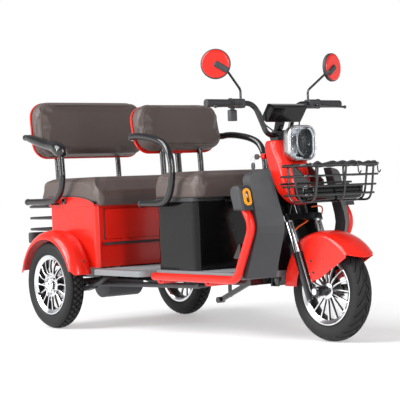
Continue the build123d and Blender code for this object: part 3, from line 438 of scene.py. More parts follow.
def wires(name, runs, radius, body, slot, mat=None, order=3, closed=False):
    """Round wires along the given runs of points. Point radii are tiny, because a curve's box counts them."""
    curve = bpy.data.curves.new(name, "CURVE")
    curve.dimensions = "3D"
    curve.bevel_depth = radius * 1000
    curve.bevel_resolution = 3
    curve.resolution_u = 6
    curve.use_fill_caps = True
    for run in runs:
        spline = curve.splines.new("NURBS")
        spline.points.add(len(run) - 1)
        for spot, point in zip(spline.points, run):
            spot.co = (*point, 1.0)
            spot.radius = 0.001
        spline.use_cyclic_u = closed
        spline.order_u = order
        spline.use_endpoint_u = not closed
    obj = bpy.data.objects.new(name, curve)
    bpy.context.scene.collection.objects.link(obj)
    curve.materials.append(mat or mats[slot])
    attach(obj, body)
    return obj


BOLT = ((0, 2.2), (2.4, 2.2), (2.8, 3.8), (4.8, 3.2), (5.6, 1.6), (6.0, 0.4), (6.2, -1))


def bolts(name, spots, body, slot, size):
    """Domed socket heads, one at each place and facing its own way."""
    bm = bmesh.new()
    for place, facing in spots:
        turn(bm, [(r * size, h * size) for r, h in BOLT], place, facing, 18)
    return from_bm(name, bm, body, slot)


# Tyres with their tread cut into the rubber
TREAD_DEPTH = 0.0045
CROWN_DEPTH = 0.02
AROUND = 600


def tyre_profile(half, outer, inner):
    """Points of radius and y from one bead over the crown to the other."""
    left = [(inner, half * 0.66), (inner + 0.006, half * 0.80), (inner + 0.016, half * 0.93),
            (inner + 0.030, half * 0.995), (inner + 0.040, half), (outer - 0.022, half * 0.95)]
    crown = []
    for i in range(33):
        t = -1 + i / 16
        crown.append((outer - 0.014 * abs(t) ** 2.4, -half * 0.86 * t))
    return left + crown + [(r, -y) for r, y in reversed(left)]


def wavy_groove(angle, y, half):
    """Long grooves that swing from the middle out to the shoulder, mirrored across the crown."""
    side = abs(y) / half
    pitch = 2 * pi / 26
    lag = 0.9 * side + (0.5 * pitch if y > 0 else 0.0)
    phase = ((angle + lag * 0.55) % pitch) / pitch
    swing = abs(phase - 0.5) * pitch * TYRE_R
    cut = 1 - smoothstep(0.0022, 0.0042, swing)
    centre = 1 - smoothstep(0.0016, 0.0032, abs(y - 0.006 * sin(angle * 26)))
    return max(cut * smoothstep(0.08, 0.2, side), centre)


def block_groove(angle, y, half):
    """Two crossing sets of slanted cuts leave diamond blocks between two ribs."""
    pitch = 2 * pi / 44
    cut = 0.0
    for lean in (-1, 1):
        phase = ((angle + lean * y / TYRE_R * 0.9) % pitch) / pitch
        cut = max(cut, 1 - smoothstep(0.0020, 0.0038, abs(phase - 0.5) * pitch * TYRE_R))
    rib = 1 - smoothstep(0.0014, 0.0028, abs(abs(y) - half * 0.62))
    return max(cut * (1 - smoothstep(half * 0.58, half * 0.64, abs(y))), rib)


def tyre_piece(node, body, centre, groove):
    """The rubber in rows around the axle; faces deep in the tread take a darker, duller material, which paints shade
    into the grooves.
    """
    rows = []
    profile = tyre_profile(TYRE_HALF - 0.0005, TYRE_R - 0.0003, RIM_R - 0.004)
    for k in range(AROUND):
        angle = 2 * pi * k / AROUND
        row = []
        for r, y in profile:
            if r > TYRE_R - CROWN_DEPTH:
                r = r - TREAD_DEPTH * groove(angle, y, TYRE_HALF)
            row.append(centre + Vector((r * cos(angle), y, r * sin(angle))))
        rows.append(row)
    mesh = grid_mesh(node + "_tread", rows, closed_rows=True)
    mesh.materials.append(mats["tyre"])
    mesh.materials.append(mats["groove"])
    deep = []
    for k in range(AROUND):
        angle = 2 * pi * (k + 0.5) / AROUND
        for (r0, y0), (r1, y1) in zip(profile, profile[1:]):
            crown = min(r0, r1) > TYRE_R - CROWN_DEPTH
            deep.append(1 if crown and groove(angle, (y0 + y1) / 2, TYRE_HALF) > 0.5 else 0)
    mesh.polygons.foreach_set("material_index", deep)
    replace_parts(piece(node + "_tread", mesh, body, "tyre"), node)


tyre_piece("front_tyre", "front_wheel", FRONT_AXLE, wavy_groove)
for side, _ in SIDES:
    tyre_piece("rear_tyre_" + side, "rear_wheel_" + side, REAR_AXLE[side], block_groove)

# Soft goods: each starts from its CAD solid, is remeshed finely and blown up by cloth pressure
VOXEL = 0.007
PUFF = 0.010


def puffed(node, body, held):
    """held(point) says which points stay where they rest; the others move by PUFF at most."""
    mesh = nodes[node].data.copy()
    mesh.materials.clear()
    obj = piece(node + "_pad", mesh, body, "leather")
    bpy.context.view_layer.objects.active = obj
    remesh = obj.modifiers.new("remesh", "REMESH")
    remesh.mode = "VOXEL"
    remesh.voxel_size = VOXEL
    bpy.ops.object.modifier_apply(modifier="remesh")
    rest = [v.co.copy() for v in obj.data.vertices]
    group = obj.vertex_groups.new(name="held")
    group.add([i for i, p in enumerate(rest) if held(p)], 1.0, "REPLACE")
    cloth = obj.modifiers.new("cloth", "CLOTH")
    settings = cloth.settings
    settings.use_pressure = True
    settings.uniform_pressure_force = 4.0
    settings.tension_stiffness = 12
    settings.compression_stiffness = 12
    settings.bending_stiffness = 1.5
    settings.vertex_group_mass = "held"
    settings.effector_weights.gravity = 0.0
    cloth.collision_settings.use_collision = False
    scene = bpy.context.scene
    for step in range(1, 21):
        scene.frame_set(step)
    depsgraph = bpy.context.evaluated_depsgraph_get()
    blown = [v.co.copy() for v in obj.evaluated_get(depsgraph).data.vertices]
    scene.frame_set(1)
    obj.modifiers.remove(cloth)
    for v, old, new in zip(obj.data.vertices, rest, blown):
        move = new - old
        if move.length > PUFF:
            move = move.normalized() * PUFF
        v.co = old + move
    smooth = obj.modifiers.new("smooth", "SMOOTH")
    smooth.factor = 0.5
    smooth.iterations = 4
    bpy.ops.object.modifier_apply(modifier="smooth")
    obj.data.polygons.foreach_set("use_smooth", [True] * len(obj.data.polygons))
    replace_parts(obj, node)
    return obj


pads = {}
for node, body in (("front_cushion", "rider_seat"), ("rear_cushion", "chassis")):
    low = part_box(node)[0].z
    pads[node] = puffed(node, body, lambda p, low=low: p.z < low + 0.05)
for node in ("front_backrest", "rear_backrest"):
    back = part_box(node)[0].x
    pads[node] = puffed(node, "chassis", lambda p, back=back: p.x < back + 0.03)


# Seams and piping, laid on the finished pads
def skin(obj):
    return BVHTree.FromPolygons([v.co for v in obj.data.vertices], [p.vertices for p in obj.data.polygons])


def laid(tree, casts, lift):
    """Points where casts, each a start and a way, meet a surface, raised by lift."""
    found = []
    for origin, way in casts:
        hit, normal, _, _ = tree.ray_cast(origin, way)
        if hit:
            found.append(hit + normal * lift)
    return found


def pinch(obj, runs):
    """Draws the pad in along the given runs of points."""
    spots = [p for run in runs for p in run]
    tree = KDTree(len(spots))
    for i, p in enumerate(spots):
        tree.insert(p, i)
    tree.balance()
    normals = [v.normal.copy() for v in obj.data.vertices]
    for v, normal in zip(obj.data.vertices, normals):
        away = tree.find(v.co)[2]
        if away < SEAM_WIDTH:
            v.co -= normal * SEAM_DEPTH * (1 - away / SEAM_WIDTH) ** 2


def curve_through(points, steps):
    """Points along a chain of quadratic arcs: ends and corners take turns."""
    found = []
    for a, b, c in zip(points[0::2], points[1::2], points[2::2]):
        for k in range(steps):
            t = k / steps
            found.append(a * (1 - t) ** 2 + b * 2 * t * (1 - t) + c * t * t)
    found.append(points[-1])
    return found


PIPING_R = 0.0016
PIPING_LIFT = 0.0004
SEAM_WIDTH = 0.012
SEAM_DEPTH = 0.003
SEAM_INSET = 0.017
REACH = 0.2
LEANS = {"front": radians(12), "rear": radians(6)}
for name, lean in LEANS.items():
    pad = pads[name + "_backrest"]
    low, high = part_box(name + "_backrest")
    size = high - low
    tall = (size.z * cos(lean) - size.x * sin(lean)) / cos(2 * lean)
    out = Vector((cos(lean), 0.0, sin(lean)))
    up = Vector((-sin(lean), 0.0, cos(lean)))
    mid = (low + high) / 2
    front_casts = [(mid + Y * u + up * v + out * REACH, -out)
                   for u, v in oblong(size.y / 2 - SEAM_INSET, tall / 2 - SEAM_INSET, 0.058, 10)]
    side_casts = []
    for u, v in oblong(size.y / 2 + 0.05, tall / 2 + 0.05, 0.12, 10):
        start_at = mid + Y * u + up * v - out * 0.006
        aim = mid + Y * u * 0.7 + up * v * 0.5 - out * 0.006
        side_casts.append((start_at, (aim - start_at).normalized()))
    tree = skin(pad)
    pinch(pad, [laid(tree, casts, 0.0) for casts in (front_casts, side_casts)])
    tree = skin(pad)
    wires(name + "_back_piping", [laid(tree, casts, PIPING_LIFT) for casts in (front_casts, side_casts)], PIPING_R,
          "chassis", "leather", mats["piping"], closed=True)

SEATS = {"front": ("rider_seat", 0.15), "rear": ("chassis", 0.24)}
for name, (body, fall) in SEATS.items():
    pad = pads[name + "_cushion"]
    low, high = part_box(name + "_cushion")
    top = high.z - 0.014
    rear = low.x + 0.016
    side_line = [(rear, low.z + 0.03), (rear, (low.z + top) / 2), (rear, top - 0.03), (low.x + 0.017, top),
                 (low.x + 0.05, top), (low.x + 0.2, top), (high.x - fall, top), (high.x - 0.03, top - 0.004),
                 (high.x - 0.012, low.z + 0.012)]
    line = curve_through([Vector((x, 0, z)) for x, z in side_line], 10)
    casts = [[(p + Y * sign * 0.5, -sign * Y) for p in line] for sign in (-1, 1)]
    tree = skin(pad)
    pinch(pad, [laid(tree, row, 0.0) for row in casts])
    tree = skin(pad)
    wires(name + "_seat_piping", [laid(tree, row, PIPING_LIFT) for row in casts], PIPING_R, body, "leather",
          mats["piping"])

# Hub caps, lug nuts and valves
LUGS = 5
LUG_CIRCLE = 0.047
VALVE_ANGLE = radians(205)
for side, sign in SIDES:
    body = "rear_wheel_" + side
    hub = REAR_AXLE[side] + sign * Y * 0.038
    turned("hub_cap_" + side, [(0, 16), (10, 15.5), (15.5, 13), (17, 6), (21, 4), (29, 2), (30.5, -4)], hub, sign * Y,
           40, body, "chrome")
    bm = bmesh.new()
    for k in range(LUGS):
        angle = 2 * pi * (k + 0.5) / LUGS
        spot = hub + Vector((LUG_CIRCLE * cos(angle), -sign * 0.012, LUG_CIRCLE * sin(angle)))
        turn(bm, [(0, 16), (6, 15.5), (8.5, 12), (8.5, 4), (12, 3), (12, -20)], spot, sign * Y, 6)
    from_bm("lug_nuts_" + side, bm, body, "chrome", smooth=False, edges=0.0008)
VALVES = (("front_wheel", FRONT_AXLE, -1), ("rear_wheel_right", REAR_AXLE["right"], -1),
          ("rear_wheel_left", REAR_AXLE["left"], 1))
for body, centre, sign in VALVES:
    out = Vector((cos(VALVE_ANGLE), 0, sin(VALVE_ANGLE)))
    turned(body + "_valve", [(0, 34), (3.5, 34), (4.2, 31), (4.2, 20), (5.5, 18), (5.5, 0)],
           centre + out * (RIM_R - 0.020) + sign * Y * 0.020, -out * 0.7 + sign * Y * 0.7, 14, body, "grip")

# Bolts through the front fender's walls
HOOD_BOLTS = ((1455.7, 324.9), (1468, 279.5))
bolts("hood_bolts", [(at(x, s * 74.2, z), s * Y) for x, z in HOOD_BOLTS for s in (-1, 1)], "steering",
      "black_metal", 0.9)

# Headlight: a silver housing with a rounded lip, a dark bowl, a light ring, a projector and a clear cover
LAMP = at(1288, 0, 799)


def lamp_part(name, rows, slot, mat, caps):
    """Part of a square lamp with round corners, from rows of half width and depth."""
    return moulded(name, [(w, w, w * 0.60, d) for w, d in rows], LAMP, (Y, Z, X), "chassis", slot, mats[mat], caps)


housing = lamp_part("lamp_housing", [(44, 0), (55, 3), (63, 12), (69, 28), (72, 46), (73, 56), (72.6, 61), (71, 64.6),
                                     (68.6, 66), (66, 65.2), (64.4, 62.5), (63.8, 58)], "chrome", "silver",
                    (True, False))
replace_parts(housing, "headlight_body", "headlight_bezel")
lamp_part("lamp_bowl", [(64, 59), (57, 55), (54, 48), (47, 30)], "chrome", "bowl", (False, False))
lamp_part("lamp_back", [(47.2, 31), (44, 24), (34, 14)], "black_plastic", "lamp_dark", (False, True))
turned("projector", [(0, 20), (10, 18.5), (19, 13), (23.5, 4), (24, 0), (27, 0), (27.5, 4), (29, 0), (29, -12)],
       LAMP + Vector((0.026, -0.008, 0.004)), X, 48, "chassis", "lens")
lamp_part("light_ring", [(62, 56), (61.8, 60), (60.4, 61.4), (57.6, 61), (56.4, 59.4), (56.2, 55)], "lens",
          "light_guide", (False, False))
cover = lamp_part("lamp_cover", [(63.6, 61.8), (63.6, 62.6), (52, 64.6), (28, 65.8)], "lens", "clear_glass",
                  (True, True))
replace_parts(cover, "headlight_lens")

# Fairing: one smooth shell round the head tube, broad above and drawn in to a rounded chin.
# Each level has its height, its back, its front and half its width.
FAIRING = ((549, 1316, 1338, 24), (551, 1304, 1348, 34), (556, 1293, 1356, 43), (564, 1282, 1361, 51),
           (575, 1271, 1362, 58), (600, 1250, 1356, 67), (625, 1239, 1350, 72), (650, 1228, 1343, 75),
           (675, 1217, 1335, 75.5), (700, 1206, 1327, 75.5), (726, 1198, 1316, 75.5), (742, 1193, 1305, 75.5),
           (760, 1189, 1295, 75.5), (780, 1186, 1285, 75.5), (798, 1186, 1277, 75), (808, 1189, 1272, 73),
           (813, 1193, 1268, 70), (815, 1199, 1262, 65))
bm = bmesh.new()
rows = []
for z, back, front, half in FAIRING:
    wide, tight = min(0.62 * half, 0.55 * (front - back)), min(24, 0.25 * (front - back))
    row = []
    for cx, cy, r, first in ((back + tight, tight - half, tight, 180), (front - wide, wide - half, wide, 270),
                             (front - wide, half - wide, wide, 0), (back + tight, half - tight, tight, 90)):
        for k in range(11):
            angle = radians(first + 9 * k)
            row.append(bm.verts.new(at(cx + r * cos(angle), cy + r * sin(angle), z)))
    rows.append(row)
skinned(bm, rows)
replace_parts(from_bm("fairing_shell", bm, "chassis", "red_paint"), "front_fairing")

# Front fender: a wide hood with side walls and a rounded beak, and a narrower guard behind the fork
RAKE = 21.0
HOOD_HALF = 74


def guard_line(outer, half, low, corner, crown):
    """Half of a fender's section, from the crown out and down its wall, as y and radius."""
    line = [(half * k / 8, outer - crown * (k / 8) ** 2) for k in range(7)]
    edge = outer - crown * 0.72
    for k in range(7):
        angle = radians(15 * k)
        line.append((half - corner + corner * sin(angle), edge - corner + corner * cos(angle)))
    line += [(half, edge - corner - (edge - corner - low) * k / 14) for k in range(1, 15)]
    return line


def fender_rows(line, limits, steps):
    """Rows over a section line, each run from its own first angle to its last."""
    rows = []
    for y, r in [(-y, r) for y, r in reversed(line[1:])] + line:
        first, last = limits(abs(y), r)
        angles = [radians(first + (last - first) * k / steps) for k in range(steps + 1)]
        rows.append([at(WHEELBASE + r * cos(a), y, AXLE_Z + r * sin(a)) for a in angles])
    return rows


def hood_limits(y, r):
    """The beak is longest in the middle, and the walls follow a line that rises forward."""
    last = 90 + RAKE + degrees(asin(20 / r))
    first = 34.5 + 7.0 * (y / HOOD_HALF) ** 2
    if r < 215:
        low, high = 0.0, 175.0
        for _ in range(30):
            mid = (low + high) / 2
            x, z = WHEELBASE + r * cos(radians(mid)), AXLE_Z + r * sin(radians(mid))
            low, high = (mid, high) if z < 226 + (x - 1446) * 0.551 else (low, mid)
        first = min(low, last - 1)
    return first, last


def guard_limits(y, r):
    return 84.0, 180 - degrees(asin(min(1.0, 12 / r)))


hood = sheet_metal("fender_hood", fender_rows(guard_line(240, HOOD_HALF, 47, 16, 14), hood_limits, 48), "steering",
                   0.003, -1.0, 0.0012)
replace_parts(hood, "front_fender")
sheet_metal("fender_guard", fender_rows(guard_line(237.5, 53, 152, 14, 10), guard_limits, 40), "steering",
            0.003, -1.0, 0.0012)

# Mirrors: black rims, straps over the painted backs, and silvered glass towards the rider
MIRROR_R = 59
MIRROR_LIP = ((-6, -10.5), (0.6, -11.2), (1.8, -9), (1.8, 1), (0.6, 4.2), (-3, 5.6), (-6.4, 5.4), (-7.8, 2))
MIRROR_PLACE = (1202, 318, 1126)
MIRROR_TURN = {"right": radians(-37), "left": radians(14)}
for side, sign in SIDES:
    facing = Vector((cos(MIRROR_TURN[side]), sin(MIRROR_TURN[side]), 0.0))
    inward = Vector((-facing.y, facing.x, 0.0)) * -sign
    x, y, z = MIRROR_PLACE
    centre = at(x, sign * y, z)
    turned("mirror_rim_" + side, [(MIRROR_R + r, h) for r, h in MIRROR_LIP], centre, facing, 72, "steering",
           "black_plastic")
    turned("mirror_glass_" + side, [(0, -10.8), (30, -10.7), (MIRROR_R - 5, -10.4), (MIRROR_R - 4, -9.5)], centre,
           facing, 72, "steering", "chrome", mats["silvered"])
    along = (inward * 0.85 - Z * 0.527).normalized()
    moulded("mirror_strap_" + side, [(32, 12.5, 9, 0), (32, 12.5, 9, 4), (29, 10.5, 8, 7.5), (24, 7, 6, 9)],
            centre + facing * 0.0095 + along * 0.026, (along, facing.cross(along), facing), "steering", "black_plastic",
            edges=0.0008)

# Ignition lock with its key, and a second key hanging from the ring
KEY_HEAD = [(13, 9, 8.5, -3.5), (15.5, 11.5, 11, -1.5), (15.5, 11.5, 11, 1.5), (13, 9, 8.5, 3.5)]
RING_R = 0.013
lock = at(1176, -60, 752)
turned("ignition_lock", [(0, 16), (7, 15.5), (10.5, 13), (12, 8), (12, -14)], lock, -X, 28, "chassis", "red_paint")


def key(name, slot, head, blade, half, axes):
    bm = bmesh.new()
    stacked(bm, KEY_HEAD, head, axes)
    stacked(bm, [(14, half, 2, -1), (14, half, 2, 1)], blade, axes)
    from_bm(name, bm, "chassis", slot, edges=0.0006)


key("key", "black_plastic", lock - X * 0.048, lock - X * 0.026, 3.2, (X, Z, Y))
ring_mid = lock - X * 0.074 - Z * 0.012
ring = [ring_mid + RING_R * (X * cos(2 * pi * k / 10) + Z * sin(2 * pi * k / 10)) for k in range(10)]
wires("key_ring", [ring], 0.0011, "chassis", "chrome", closed=True)
key("spare_key", "cast", ring_mid - Z * 0.026, ring_mid - Z * 0.052, 3.0, (Z, X, Y))

# Corner lamps: a dark slot with a pale bulb holder inside the amber ring
POD_LEAN = radians(12.95)
lamp_out = Vector((cos(POD_LEAN), 0.0, sin(POD_LEAN)))
lamp_up = Vector((-sin(POD_LEAN), 0.0, cos(POD_LEAN)))
low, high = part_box("corner_lamps")
for side, sign in SIDES:
    spot = Vector(((low.x + high.x) / 2, sign * (high.y - 0.018), (low.z + high.z) / 2)) - lamp_out * 0.004
    moulded("lamp_slot_" + side, [(6.8, 23.8, 6.6, -2), (6.8, 23.8, 6.6, 3), (4.8, 21, 4.6, 4.2)], spot,
            (Y, lamp_up, lamp_out), "chassis", "lens")
    moulded("lamp_bulb_" + side, [(2.6, 10, 2.4, 0), (2.6, 10, 2.4, 4.6), (1.6, 8.5, 1.5, 5.6)], spot + lamp_up * 0.006,
            (Y, lamp_up, lamp_out), "chassis", "alloy")

# Display on the instrument housing, facing the rider
screen_out = Vector((-0.794, 0.0, 0.608))
screen_up = Vector((0.608, 0.0, 0.794))
moulded("display", [(78, 30, 10, -2), (78, 30, 10, 1.6), (75, 27, 9, 3), (70, 23, 7, 2.2)], at(1223, 0, 936),
        (Y, screen_up, screen_out), "steering", "lens")

# Safety-switch box under the right grip
bm = bmesh.new()
stacked(bm, [(17, 10, 3, 0), (18, 11, 4, 3), (18, 11, 4, 42), (15, 9, 3, 46)], at(1182, -226, 898), (Y, X, Z))
stacked(bm, [(8, 6, 2, 0), (8, 6, 2, 20)], at(1184, -226, 943), (Y, X, Z))
from_bm("switch_box", bm, "steering", "cast", edges=0.0008)

# Wheels: a turned rim with a broad bright lip and sixteen slender spokes
SPOKES = 16
SPOKE_END = 119.5
RIM_LINE = [(139.5, 32), (138.5, 33.8), (134, 34.2), (122.5, 26.2), (118, 24), (117.2, 21.5), (117.5, 0), (119, -20),
            (125, -29), (134, -33.8), (139.5, -33), (139, -29.5), (128.5, -26), (128.5, 26), (139, 29.5), (139.5, 32)]
FRONT_HUB = [(8.4, -45.5), (16, -45.5), (18.5, -42), (18.5, -30), (29, -26), (31, -20), (28, 0), (30, 17), (35, 22),
             (35, 27.5), (30, 30), (19, 31), (18.5, 41), (16, 45.5), (8.4, 45.5)]
REAR_HUB = [(0, -107), (9.8, -107), (9.8, -42), (69, -41.5), (71.5, -38), (71.5, -25), (67, -22), (34, -20), (29, 0),
            (33, 17), (55, 21.5), (57.5, 24.5), (56, 26.8), (30, 28), (29.5, 37.8), (0, 37.8)]


def spoke(bm, centre, axis, angle, first):
    """One spoke: its front is narrow and rounded over, and it leans a little as it nears the rim."""
    out = Vector((cos(angle), 0.0, sin(angle)))
    aside = axis.cross(out)
    rows = []
    for k in range(7):
        t = k / 6
        r = first + (SPOKE_END - first) * t
        face = 27.5 - 3.5 * t + 2 * sin(pi * t)
        half = 4.4 - 1.4 * sin(pi * t)
        lean = 4 * sin(pi * t)
        line = [(-half, face - 11), (-half, face - 1.6), (-half * 0.55, face), (half * 0.55, face), (half, face - 1.6),
                (half, face - 11)]
        rows.append([bm.verts.new(centre + (out * r + aside * (u + lean) + axis * h) / 1000) for u, h in line])
    skinned(bm, rows)


WHEELS = (("front_rim", "front_wheel", FRONT_AXLE, -1, FRONT_HUB, 26),
          ("rear_rim_right", "rear_wheel_right", REAR_AXLE["right"], -1, REAR_HUB, 50),
          ("rear_rim_left", "rear_wheel_left", REAR_AXLE["left"], 1, REAR_HUB, 50))
for node, body, centre, sign, hub_line, spoke_start in WHEELS:
    axis = sign * Y
    bm = bmesh.new()
    turn(bm, RIM_LINE, centre, axis, 128)
    turn(bm, hub_line, centre, axis, 48)
    for k in range(SPOKES):
        spoke(bm, centre, axis, 2 * pi * k / SPOKES, spoke_start)
    wheel = from_bm(node + "_spokes", bm, body, "alloy",
                    machined(node + "_turned", (0.80, 0.81, 0.83), (0.012, 0.012, 0.013), centre))
    edge = wheel.modifiers.new("edges", "EDGE_SPLIT")
    edge.split_angle = radians(38)
    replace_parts(wheel, node)

# Arm hoops: tubes in one line from a lower leg round the arm and behind the backrest
ARM_R = 0.015
FRONT_ARM_Y, REAR_ARM_Y = 262, 340
FRONT_ARM = [(561, 569), (640, 569), (705, 569), (752, 578), (786, 618), (804, 690), (797, 768), (765, 822), (705, 848),
             (620, 864), (560, 870), (522, 870)]
REAR_ARM = [(-285, 592), (-170, 592), (-80, 592), (-18, 600), (26, 636), (46, 700), (40, 768), (36, 826), (-6, 846),
            (-60, 857), (-143, 875), (-230, 896), (-268, 903)]


def hoop(name, node, points, y, x, z, lead):
    """A side run of x and z and its mirror, joined by a cross run at x and z; lead sets how softly it turns in."""
    half = [at(px, -y, pz) for px, pz in points]
    half += [at(x + lead, -y, z), at(x, 10 + lead * 0.8 - y, z), at(x, 40 + lead - y, z)]
    tube = wires(name, [half + [at(x, 0, z)] + mirrored(half)], ARM_R, "chassis", "black_metal")
    tube.data.bevel_resolution = 6
    tube.data.resolution_u = 12
    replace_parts(tube, node)


hoop("front_arm_tube", "front_arm_hoop", FRONT_ARM, FRONT_ARM_Y, 448, 867, 54)
hoop("rear_arm_tube", "rear_arm_hoop", REAR_ARM, REAR_ARM_Y, -291, 905, 6)

# Rests swell round the rear hoop's arms, and plugs close the tubes' lower ends
REST = [(-262, 903), (-240, 899), (-212, 893), (-176, 884), (-140, 876), (-104, 867), (-70, 859), (-40, 853), (-8, 847),
        (24, 836), (48, 822), (58, 814), (63, 808)]
REST_FAT = [15.5, 18.0, 21.0, 23.0, 23.0, 22.0, 22.0, 23.5, 28.0, 36.0, 30.0, 22.0, 12.0]
REST_STEPS = 28
for side, sign in SIDES:
    line = curve_through([at(x, sign * REAR_ARM_Y, z) for x, z in REST], 6)
    fat = curve_through([Vector((r / 1000, 0, 0)) for r in REST_FAT], 6)
    rows = [[line[0]] * REST_STEPS]
    for k, point in enumerate(line):
        way = (line[min(k + 1, len(line) - 1)] - line[max(k - 1, 0)]).normalized()
        lift = way.cross(Y)
        rows.append([point + fat[k].x * (cos(a) * Y + sin(a) * lift)
                     for a in (2 * pi * j / REST_STEPS for j in range(REST_STEPS))])
    rows.append([line[-1]] * REST_STEPS)
    bm = bmesh.new()
    bm.from_mesh(grid_mesh("rest", rows, closed_cols=True))
    from_bm("arm_rest_" + side, bm, "chassis", "black_metal")
    bm = bmesh.new()
    for (x, z), y in ((FRONT_ARM[0], FRONT_ARM_Y), (REAR_ARM[0], REAR_ARM_Y)):
        turn(bm, [(0, 6), (10, 5.5), (14.5, 3), (15.8, 0), (15.8, -12)], at(x, sign * y, z), -X, 32)
    from_bm("hoop_plugs_" + side, bm, "chassis", "black_plastic")

# Basket: a rim, three wires that end in free tips, hoops under the tray and a bar for the stays
BACK_X, FRONT_X, HALF_Y, TOP_Z, LOW_Z, FLARE = 1424, 1600, 200, 704, 561, 24
mid_x = (BACK_X + FRONT_X) / 2
rim_run = [at(mid_x + u, v, TOP_Z) for u, v in oblong((FRONT_X - BACK_X) / 2, HALF_Y, 45, 6)]
basket = wires("basket_rim", [rim_run], 0.0062, "chassis", "black_metal", closed=True)
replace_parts(basket, "front_basket")
runs = []
for drop in (42, 82, 116):
    inset = FLARE * drop / (TOP_Z - LOW_Z)
    front, half, z = FRONT_X - inset, HALF_Y - inset, TOP_Z - drop
    right = [at(BACK_X + 8, -half, z), at(BACK_X + 70, -half, z), at(front - 40, -half, z), at(front - 6, -half + 2, z),
             at(front, -half + 40, z), at(front, -half + 90, z)]
    runs.append(right + mirrored(right))
HOOP = ((FRONT_X, TOP_Z), (FRONT_X - 10, LOW_Z + 70), (FRONT_X - 18, LOW_Z + 26), (FRONT_X - 34, LOW_Z),
        (FRONT_X - 80, LOW_Z), (BACK_X + 70, LOW_Z), (BACK_X + 22, LOW_Z), (BACK_X, LOW_Z + 26), (BACK_X, LOW_Z + 70),
        (BACK_X, TOP_Z))
runs += [[at(x, y, z) for x, z in HOOP] for y in (-150, 0, 150)]
CROSS = ((0, TOP_Z), (11, LOW_Z + 64), (20, LOW_Z + 26), (40, LOW_Z), (100, LOW_Z))
right = [at(mid_x, y - HALF_Y, z) for y, z in CROSS]
runs.append(right + mirrored(right))
runs.append([at(BACK_X, y, 634) for y in (-192, -100, 0, 100, 192)])
wires("basket_wires", runs, 0.0046, "chassis", "black_metal")
tray = moulded("basket_pan", [(120, 36, 28, 0), (142, 50, 36, 4), (152, 57, 42, 16), (155, 59.5, 44, 34),
                              (157, 61.5, 46, 56), (154, 58.5, 43, 57), (150, 55, 41, 34), (138, 47, 34, 10),
                              (115, 33, 26, 6)], at(mid_x - 16.5, 0, LOW_Z + 4.4), (Y, X, Z), "chassis", "black_gloss")
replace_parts(tray, "basket_tray")

# A bunched luggage net twisted round the front of the rim, with two wire hooks
TWISTS = 2.3
net = []
for strand in range(3):
    run = []
    for k in range(71):
        t = k / 70
        y = -176 + 372 * t
        x = FRONT_X - 3 if y < 150 else FRONT_X - 3 - 0.020 * (y - 150) ** 2
        angle = 2 * pi * (strand / 3 + TWISTS * t) + 0.7 * sin(7 * t + strand)
        fat = 9.0 + 3.0 * sin(4.1 * t * pi + strand * 1.7)
        run.append(at(x - 4 + fat * cos(angle), y, TOP_Z + 1.5 + 0.8 * fat * sin(angle)))
    net.append(run)
wires("net_strands", net, 0.0052, "chassis", "grip")
HOOK = ((8, 0, 6), (11, 0, -6), (10, 2, -22), (9, 5, -34), (9, 14, -37), (10, 18, -26))
wires("net_hooks", [[at(hook_x + x, hook_y + y, TOP_Z + z) for x, y, z in HOOK]
                    for hook_x, hook_y in ((FRONT_X + 1, 52), (FRONT_X - 8, 168))], 0.0026, "chassis", "black_metal")

# Rear body: dark strips round the door that paint the shade in its gaps, skirts with strips along the seat's sides, and
# a latch on each
bm = bmesh.new()
slab(bm, (261.5, -266, 386), (263.6, 266, 397))
for sign in (-1, 1):
    slab(bm, (261.5, sign * 260, 410), (263.6, sign * 266, 556))
from_bm("door_gap_shade", bm, "chassis", "black_plastic", mats["grip"], edges=0.0006)
SKIRT = ((-139, 612), (-100, 612), (-20, 612), (30, 612), (90, 611), (150, 606), (200, 597), (236, 586), (254, 576))
SKIRT_IN, SKIRT_OUT, SKIRT_LOW = 305.5, 309, 566
for side, sign in SIDES:
    bm = bmesh.new()
    skinned(bm, [[bm.verts.new(at(x, sign * y, h)) for y, h in ((SKIRT_IN, SKIRT_LOW), (SKIRT_IN, z), (SKIRT_OUT, z),
                                                                (SKIRT_OUT, SKIRT_LOW))] for x, z in SKIRT])
    from_bm("seat_skirt_" + side, bm, "chassis", "red_paint", edges=0.001)
    wires("skirt_strip_" + side, [[at(x, sign * 307, z + 1) for x, z in SKIRT]], 0.0035, "chassis", "black_plastic",
          mats["grip"])
    moulded("seat_latch_" + side, [(16, 12, 4, 0), (16, 12, 4, 8), (13, 9, 3, 10)], at(3, sign * 308, 592),
            (X, Z, sign * Y), "chassis", "black_metal")

# Rear fenders: a rolled lip outside, a round shoulder, and a front end drawn in towards the body
FENDER_LINE = ((212, 426), (216, 426), (220, 425.6), (228, 422), (236, 416), (242, 409.5), (246.5, 401), (249.5, 391),
               (251.2, 381), (252, 370), (252, 360), (251, 348), (249, 336), (246, 323), (243, 313), (240, 305.4))
FENDER_FIRST, FENDER_LAST = 12, 166
for side, sign in SIDES:
    rows = []
    for r, y in FENDER_LINE:
        first = FENDER_FIRST + max(0.0, y - 414) * 0.55 + max(0.0, 330 - y) * 0.10
        inward = (max(0.0, 372 - y) / 66.6) ** 2
        row = []
        for k in range(61):
            angle = first + (FENDER_LAST - first) * k / 60
            pull = r - 30 * inward * (1 - smoothstep(FENDER_FIRST, 85, angle))
            row.append(at(pull * cos(radians(angle)), sign * y, AXLE_Z + pull * sin(radians(angle))))
        rows.append(row)
    sheet = sheet_metal("fender_" + side, rows, "chassis", 0.0036, 0.0, 0.0014)
    if side == "right":
        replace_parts(sheet, "rear_fenders")
FENDER_BOLTS = ((214, 396, 316), (228, 356, 318))
bolts("fender_bolts", [(at(x, s * y, z), Vector((0.75, s * 0.5, 0.45))) for x, y, z in FENDER_BOLTS for s in (-1, 1)],
      "chassis", "black_metal", 0.8)

